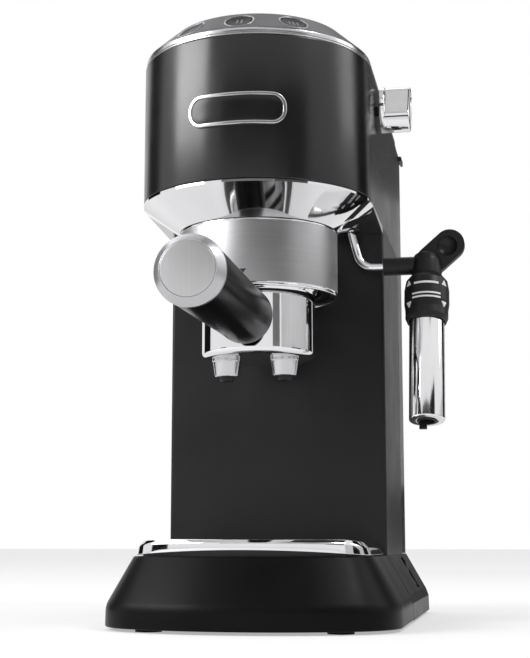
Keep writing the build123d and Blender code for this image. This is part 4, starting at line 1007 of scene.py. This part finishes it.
# Places of the marks: runs round the barrel, and heights; a bar has its two runs, then its two heights
TRIANGLE_RUNS = (-10.4, 11.4)
UP_FOOT, UP_TIP = 8.2, 5.2
DOWN_FOOT, DOWN_TIP = 17.9, 20.9
MARK_BARS = {
    "mark_one": (-6.4, 7.4, 7.2, 8.4),
    "mark_two_high": (-7.6, 8.6, 13.4, 14.4),
    "mark_two_low": (-7.6, 8.6, 15.6, 16.6),
}
for k, run in enumerate(TRIANGLE_RUNS):
    barrel_mark(f"mark_up_{k}", triangle(run, UP_FOOT, UP_TIP))
    barrel_mark(f"mark_down_{k}", triangle(run, DOWN_FOOT, DOWN_TIP))
for name, ends in MARK_BARS.items():
    barrel_mark(name, bar_cuts(*ends))

# Base: drip tray and the bright rim of its grille
BASE_Z0, BASE_Z1 = base_lo.z, base_hi.z
TOP_IN = 13.9
TOP_REACH = TOP_IN + 3.0
FOOT_IN = 1.2
SHOULDER = 12.0
SHOULDER_IN = 0.2
SHOULDER_ROUND = 11.0
TRAY_BACK = tray_hi.y - 1.6
TRAY_STEPS = 8
TRAY_SHARP = 40.0
LEDGE_IN = 18.4
LEDGE_BACK = TRAY_BACK - 0.7
LEDGE_Z = BASE_Z1 - 2.8
WELL_IN = 20.6
WELL_BACK = tray_hi.y - 2.8
WELL_Z = 6.9
skin = rounded([
    (FOOT_IN, BASE_Z0),
    (0.0, BASE_Z0, 0.9),
    (SHOULDER_IN, SHOULDER, SHOULDER_ROUND),
    (TOP_IN, BASE_Z1, 1.4),
    (TOP_REACH, BASE_Z1),
], closed=False, steps=TRAY_STEPS)
tray_skin = [(inset, TRAY_BACK, z) for inset, z in skin]
tray_skin += [(LEDGE_IN, LEDGE_BACK, z) for z in (BASE_Z1, LEDGE_Z)]
tray_skin += [(WELL_IN, WELL_BACK, z) for z in (LEDGE_Z, WELL_Z)]
rings = [[(x, y, z) for x, y in d_plan(inset, back)] for inset, back, z in tray_skin]
verts, faces = weave(rings, closed=False, caps=(False, True))
piece("tray_body", verts, faces, MATERIALS["base_black"], "tray", ["drip_tray"], sharp=TRAY_SHARP)

RIM_IN = BASE_W - rim_hi.x
RIM_LEAN = 1.5
RIM_TOP = 3.8
RIM_FOOT = RIM_IN + 3.5
RIM_LIFT = 2.7
RIM_ROLL = 2.4
RIM_SHEET = 2.0
RIM_FOOT_DROP = 2.3
RIM_BULGE = 0.1
RIM_STEPS = 8
ARCH_Y = 10.0
rim_top_in = RIM_IN + RIM_LEAN + RIM_TOP
rim_front = rounded([
    (RIM_IN, rim_lo.z, 0.4),
    (RIM_IN + RIM_BULGE, rim_hi.z - RIM_ROLL, 3.0),
    (RIM_IN + RIM_LEAN, rim_hi.z, 1.2),
    (rim_top_in, rim_hi.z, 0.9),
    (rim_top_in, rim_hi.z - RIM_SHEET, 0.3),
    (RIM_FOOT, rim_hi.z - RIM_FOOT_DROP, 0.3),
    (RIM_FOOT, rim_lo.z, 0.3),
], steps=RIM_STEPS)
rim_arch = (rim_hi.x**2 + RIM_LIFT**2) / (2 * RIM_LIFT)
SIDE_RISE = rim_lo.z + 6.6
SIDE_KNEE = rim_lo.z + 3.6
SIDE_UNDER = rim_lo.z + 6.0
SIDE_KNEE_IN = RIM_IN + 1.3
SIDE_TOP_IN = RIM_IN + 3.9
SIDE_REACH = RIM_IN + 7.6
SIDE_FOOT = RIM_IN + 3.4
SIDE_EDGE_UP = 0.3
SIDE_EDGE_DOWN = 0.4
rim_side = rounded([
    (RIM_IN, rim_lo.z, 0.4),
    (SIDE_KNEE_IN, SIDE_KNEE, 3.0),
    (SIDE_TOP_IN, SIDE_RISE, 2.0),
    (SIDE_REACH, SIDE_RISE + SIDE_EDGE_UP, 0.2),
    (SIDE_REACH, SIDE_RISE - SIDE_EDGE_DOWN, 0.2),
    (SIDE_FOOT, SIDE_UNDER, 0.2),
    (SIDE_FOOT, rim_lo.z, 0.2),
], steps=RIM_STEPS)
# The front profile turns into the side profile between these two places in Y
TURN_FRONT = -38.0
TURN_SIDE = -14.0


def arched(x, y, z):
    """Lifts the lower edge of the rim towards its middle, in front only."""
    if y > ARCH_Y:
        return (x, y, z)
    lift = max(RIM_LIFT - rim_arch + math.sqrt(rim_arch**2 - x**2), 0.0)
    return (x, y, z + lift * (rim_hi.z - z) / (rim_hi.z - rim_lo.z))


def rim_ring(front, side):
    """One ring of the rim, which goes from its front profile to its side profile through the corners."""
    plans = [d_plan(inset, rim_hi.y - (inset - RIM_IN)) for inset in (front[0], side[0])]
    out = []
    for (x0, y0), (x1, y1) in zip(*plans):
        share = min(max((y0 - TURN_FRONT) / (TURN_SIDE - TURN_FRONT), 0.0), 1.0)
        share = share * share * (3.0 - 2.0 * share)
        spot = Vector((x0, y0, front[1])).lerp(Vector((x1, y1, side[1])), share)
        out.append(arched(*spot))
    return out


verts, faces = weave([rim_ring(front, side) for front, side in zip(rim_front, rim_side)])
piece("rim_band", verts, faces, MATERIALS["chrome"], "grille", ["tray_rim"])


# Stage, light and camera
WHITE = (1.0, 1.0, 1.0, 1.0)
WORLD_FILL = 0.3
FLOOR_HALF = 9000.0
FLOOR_GLOW = 0.42
FLOOR_CLOUD = 2.0
FLOOR_LOW, FLOOR_HIGH = grey(0.96), grey(0.98)
FLOOR_ROUGH = 0.7
FLOOR_SPECULAR = 0.2
CARD_CLOUD = 8.0
CARD_PLAY = 0.1
CARD_ROUGH = 0.9
CARD_BLACK = 0.008
CARD_WAY = 1500.0
CEILING_FRONT, CEILING_BACK, CEILING_Z = -1500.0, 700.0, 1800.0
SUN_STRENGTH = 1.2
SUN_WIDE = 80.0
SUN_LEAN = -12.0
LAMP_WAY = 1350.0
# Lamps: azimuth, height, width, tall, watts and way out from the object
LAMPS = {
    "left_box": (-60.0, 840.0, 860.0, 560.0, 15.0, LAMP_WAY),
    "right_box": (108.0, 930.0, 500.0, 620.0, 2.0, LAMP_WAY),
    "right_top_box": (72.0, 1530.0, 400.0, 400.0, 10.0, 1170.0),
}
# Upright cards: azimuth, width, lower edge, upper edge, grey level and way out from the object
UPRIGHT_CARDS = {
    "front_low_card": (0.0, 1400.0, 470.0, 680.0, 0.19, CARD_WAY),
    "front_high_card": (0.0, 1400.0, 680.0, 890.0, CARD_BLACK, CARD_WAY),
    "front_right_low_card": (42.0, 900.0, 400.0, 640.0, 0.08, CARD_WAY),
    "front_right_high_card": (42.0, 900.0, 640.0, 860.0, CARD_BLACK, CARD_WAY),
    "left_card": (-116.0, 760.0, 5.0, 1500.0, CARD_BLACK, CARD_WAY),
    "left_low_card": (-63.5, 340.0, 5.0, 200.0, CARD_BLACK, CARD_WAY),
    "right_card": (135.0, 700.0, 150.0, 1500.0, CARD_BLACK, CARD_WAY),
    "right_low_card": (92.0, 540.0, 5.0, 220.0, CARD_BLACK, 1300.0),
    "low_card": (89.0, 1900.0, 10.0, 430.0, 0.65, CARD_WAY),
    "low_front_card": (46.0, 380.0, 200.0, 430.0, 0.18, CARD_WAY),
    "back_floor_card": (170.0, 700.0, 5.0, 130.0, 0.03, 1450.0),
    "back_low_card": (168.0, 900.0, 5.0, 600.0, 0.44, CARD_WAY),
    "back_high_card": (168.0, 900.0, 600.0, 1600.0, 0.12, CARD_WAY),
}
# Cards above the object: left edge, right edge and grey level
CEILING_CARDS = {
    "ceiling_card": (-1100.0, 250.0, 0.62),
    "ceiling_right_card": (250.0, 1100.0, 0.03),
}


def shown_rays(tree):
    """One for camera, glossy and transmission rays, zero for the rest."""
    path = add(tree, "ShaderNodeLightPath")
    first = add(tree, "ShaderNodeMath", operation="MAXIMUM")
    second = add(tree, "ShaderNodeMath", operation="MAXIMUM")
    tree.links.new(path.outputs["Is Camera Ray"], first.inputs[0])
    tree.links.new(path.outputs["Is Glossy Ray"], first.inputs[1])
    tree.links.new(first.outputs[0], second.inputs[0])
    tree.links.new(path.outputs["Is Transmission Ray"], second.inputs[1])
    return second.outputs[0]


def studio_world():
    """White to the camera and in metal and glass, and a plain level of light on everything else."""
    world = bpy.data.worlds.new("studio")
    bpy.context.scene.world = world
    world.use_nodes = True
    tree = world.node_tree
    tree.nodes.clear()
    dim = add(tree, "ShaderNodeBackground", Color=WHITE, Strength=WORLD_FILL)
    white = add(tree, "ShaderNodeBackground", Color=WHITE, Strength=1.0)
    choose = add(tree, "ShaderNodeMixShader")
    tree.links.new(shown_rays(tree), choose.inputs["Fac"])
    tree.links.new(dim.outputs["Background"], choose.inputs[1])
    tree.links.new(white.outputs["Background"], choose.inputs[2])
    output = add(tree, "ShaderNodeOutputWorld")
    tree.links.new(choose.outputs["Shader"], output.inputs["Surface"])


def stage_sheet(name, points, mat):
    """One flat face that belongs to the stage."""
    data = bpy.data.meshes.new(name)
    data.from_pydata([Vector(p) * MM for p in points], [], [tuple(range(len(points)))])
    data.materials.append(mat)
    sheet = bpy.data.objects.new(name, data)
    bpy.context.scene.collection.objects.link(sheet)
    return sheet


def pale_floor():
    """A wide pale floor that keeps the object's shadow and shows a little brighter than it is lit."""
    mat, tree, shader = new_material("floor_white")
    cloud = spread(tree, noise(tree, FLOOR_CLOUD), 0.0, 1.0)
    tree.links.new(tint(tree, cloud, FLOOR_LOW, FLOOR_HIGH), shader.inputs["Base Color"])
    shader.inputs["Roughness"].default_value = FLOOR_ROUGH
    shader.inputs["Specular IOR Level"].default_value = FLOOR_SPECULAR
    light = add(tree, "ShaderNodeEmission", Color=WHITE, Strength=1.0)
    share = add(tree, "ShaderNodeMath", operation="MULTIPLY")
    share.inputs[1].default_value = FLOOR_GLOW
    tree.links.new(shown_rays(tree), share.inputs[0])
    choose = add(tree, "ShaderNodeMixShader")
    tree.links.new(share.outputs[0], choose.inputs["Fac"])
    tree.links.new(shader.outputs["BSDF"], choose.inputs[1])
    tree.links.new(light.outputs["Emission"], choose.inputs[2])
    tree.links.new(choose.outputs["Shader"], tree.nodes["Material Output"].inputs["Surface"])
    signs = ((-1, -1), (1, -1), (1, 1), (-1, 1))
    stage_sheet("floor", [(x * FLOOR_HALF, y * FLOOR_HALF, 0.0) for x, y in signs], mat)


def around(azimuth, distance):
    """A place on the floor round the object; azimuth 0 is the front and 90 the right."""
    turn = math.radians(azimuth)
    return Vector((math.sin(turn), -math.cos(turn), 0.0)) * distance


def card(name, points, level):
    """A plain card beside the object, seen only in reflections."""
    mat, tree, shader = new_material(name)
    cloud = noise(tree, CARD_CLOUD)
    low, high = grey(level * (1.0 - CARD_PLAY)), grey(level * (1.0 + CARD_PLAY))
    tree.links.new(tint(tree, cloud, low, high), shader.inputs["Base Color"])
    shader.inputs["Roughness"].default_value = CARD_ROUGH
    shader.inputs["Specular IOR Level"].default_value = 0.0
    sheet = stage_sheet(name, points, mat)
    sheet.visible_camera = False
    sheet.visible_diffuse = False
    sheet.visible_shadow = False


def upright_card(name, azimuth, width, low, high, level, distance):
    """A card that stands round the object and faces it."""
    centre = around(azimuth, distance)
    across = around(azimuth + 90.0, width / 2)
    left, right = centre - across, centre + across
    foot, head = Vector((0.0, 0.0, low)), Vector((0.0, 0.0, high))
    card(name, [left + foot, right + foot, right + head, left + head], level)


def ceiling_card(name, left, right, level):
    """A level card above the object."""
    spots = ((left, CEILING_FRONT), (right, CEILING_FRONT), (right, CEILING_BACK), (left, CEILING_BACK))
    card(name, [(x, y, CEILING_Z) for x, y in spots], level)


def soft_box(name, azimuth, height, width, tall, power, distance):
    """An area lamp that looks at the middle of the head."""
    data = bpy.data.lights.new(name, "AREA")
    data.shape = "RECTANGLE"
    data.size = width * MM
    data.size_y = tall * MM
    data.energy = power
    lamp = bpy.data.objects.new(name, data)
    place = around(azimuth, distance) + Vector((0.0, 0.0, height))
    aim = Vector((0.0, 0.0, (HEAD_Z0 + HEAD_Z1) / 2))
    lamp.location = place * MM
    lamp.rotation_euler = (aim - place).to_track_quat("-Z", "Y").to_euler()
    bpy.context.scene.collection.objects.link(lamp)


def overhead():
    """A broad sun that leans a little from straight down."""
    data = bpy.data.lights.new("overhead", "SUN")
    data.energy = SUN_STRENGTH
    data.angle = math.radians(SUN_WIDE)
    lamp = bpy.data.objects.new("overhead", data)
    lamp.rotation_euler = (math.radians(SUN_LEAN), math.radians(SUN_LEAN), 0.0)
    bpy.context.scene.collection.objects.link(lamp)


def photo_camera():
    """The camera that sees the object as the photograph does."""
    data = bpy.data.cameras.new("camera")
    data.sensor_width = SENSOR
    data.lens = FOCAL_PX / IMAGE_H * SENSOR
    camera = bpy.data.objects.new("camera", data)
    camera.location = Vector(CAMERA) * MM
    camera.rotation_euler = (math.radians(90 + CAMERA_RISE), 0, math.radians(CAMERA_TURN))
    bpy.context.scene.collection.objects.link(camera)
    bpy.context.scene.camera = camera


bpy.context.scene.view_settings.view_transform = "Standard"
studio_world()
pale_floor()
for name, values in LAMPS.items():
    soft_box(name, *values)
overhead()
for name, values in UPRIGHT_CARDS.items():
    upright_card(name, *values)
for name, values in CEILING_CARDS.items():
    ceiling_card(name, *values)
photo_camera()
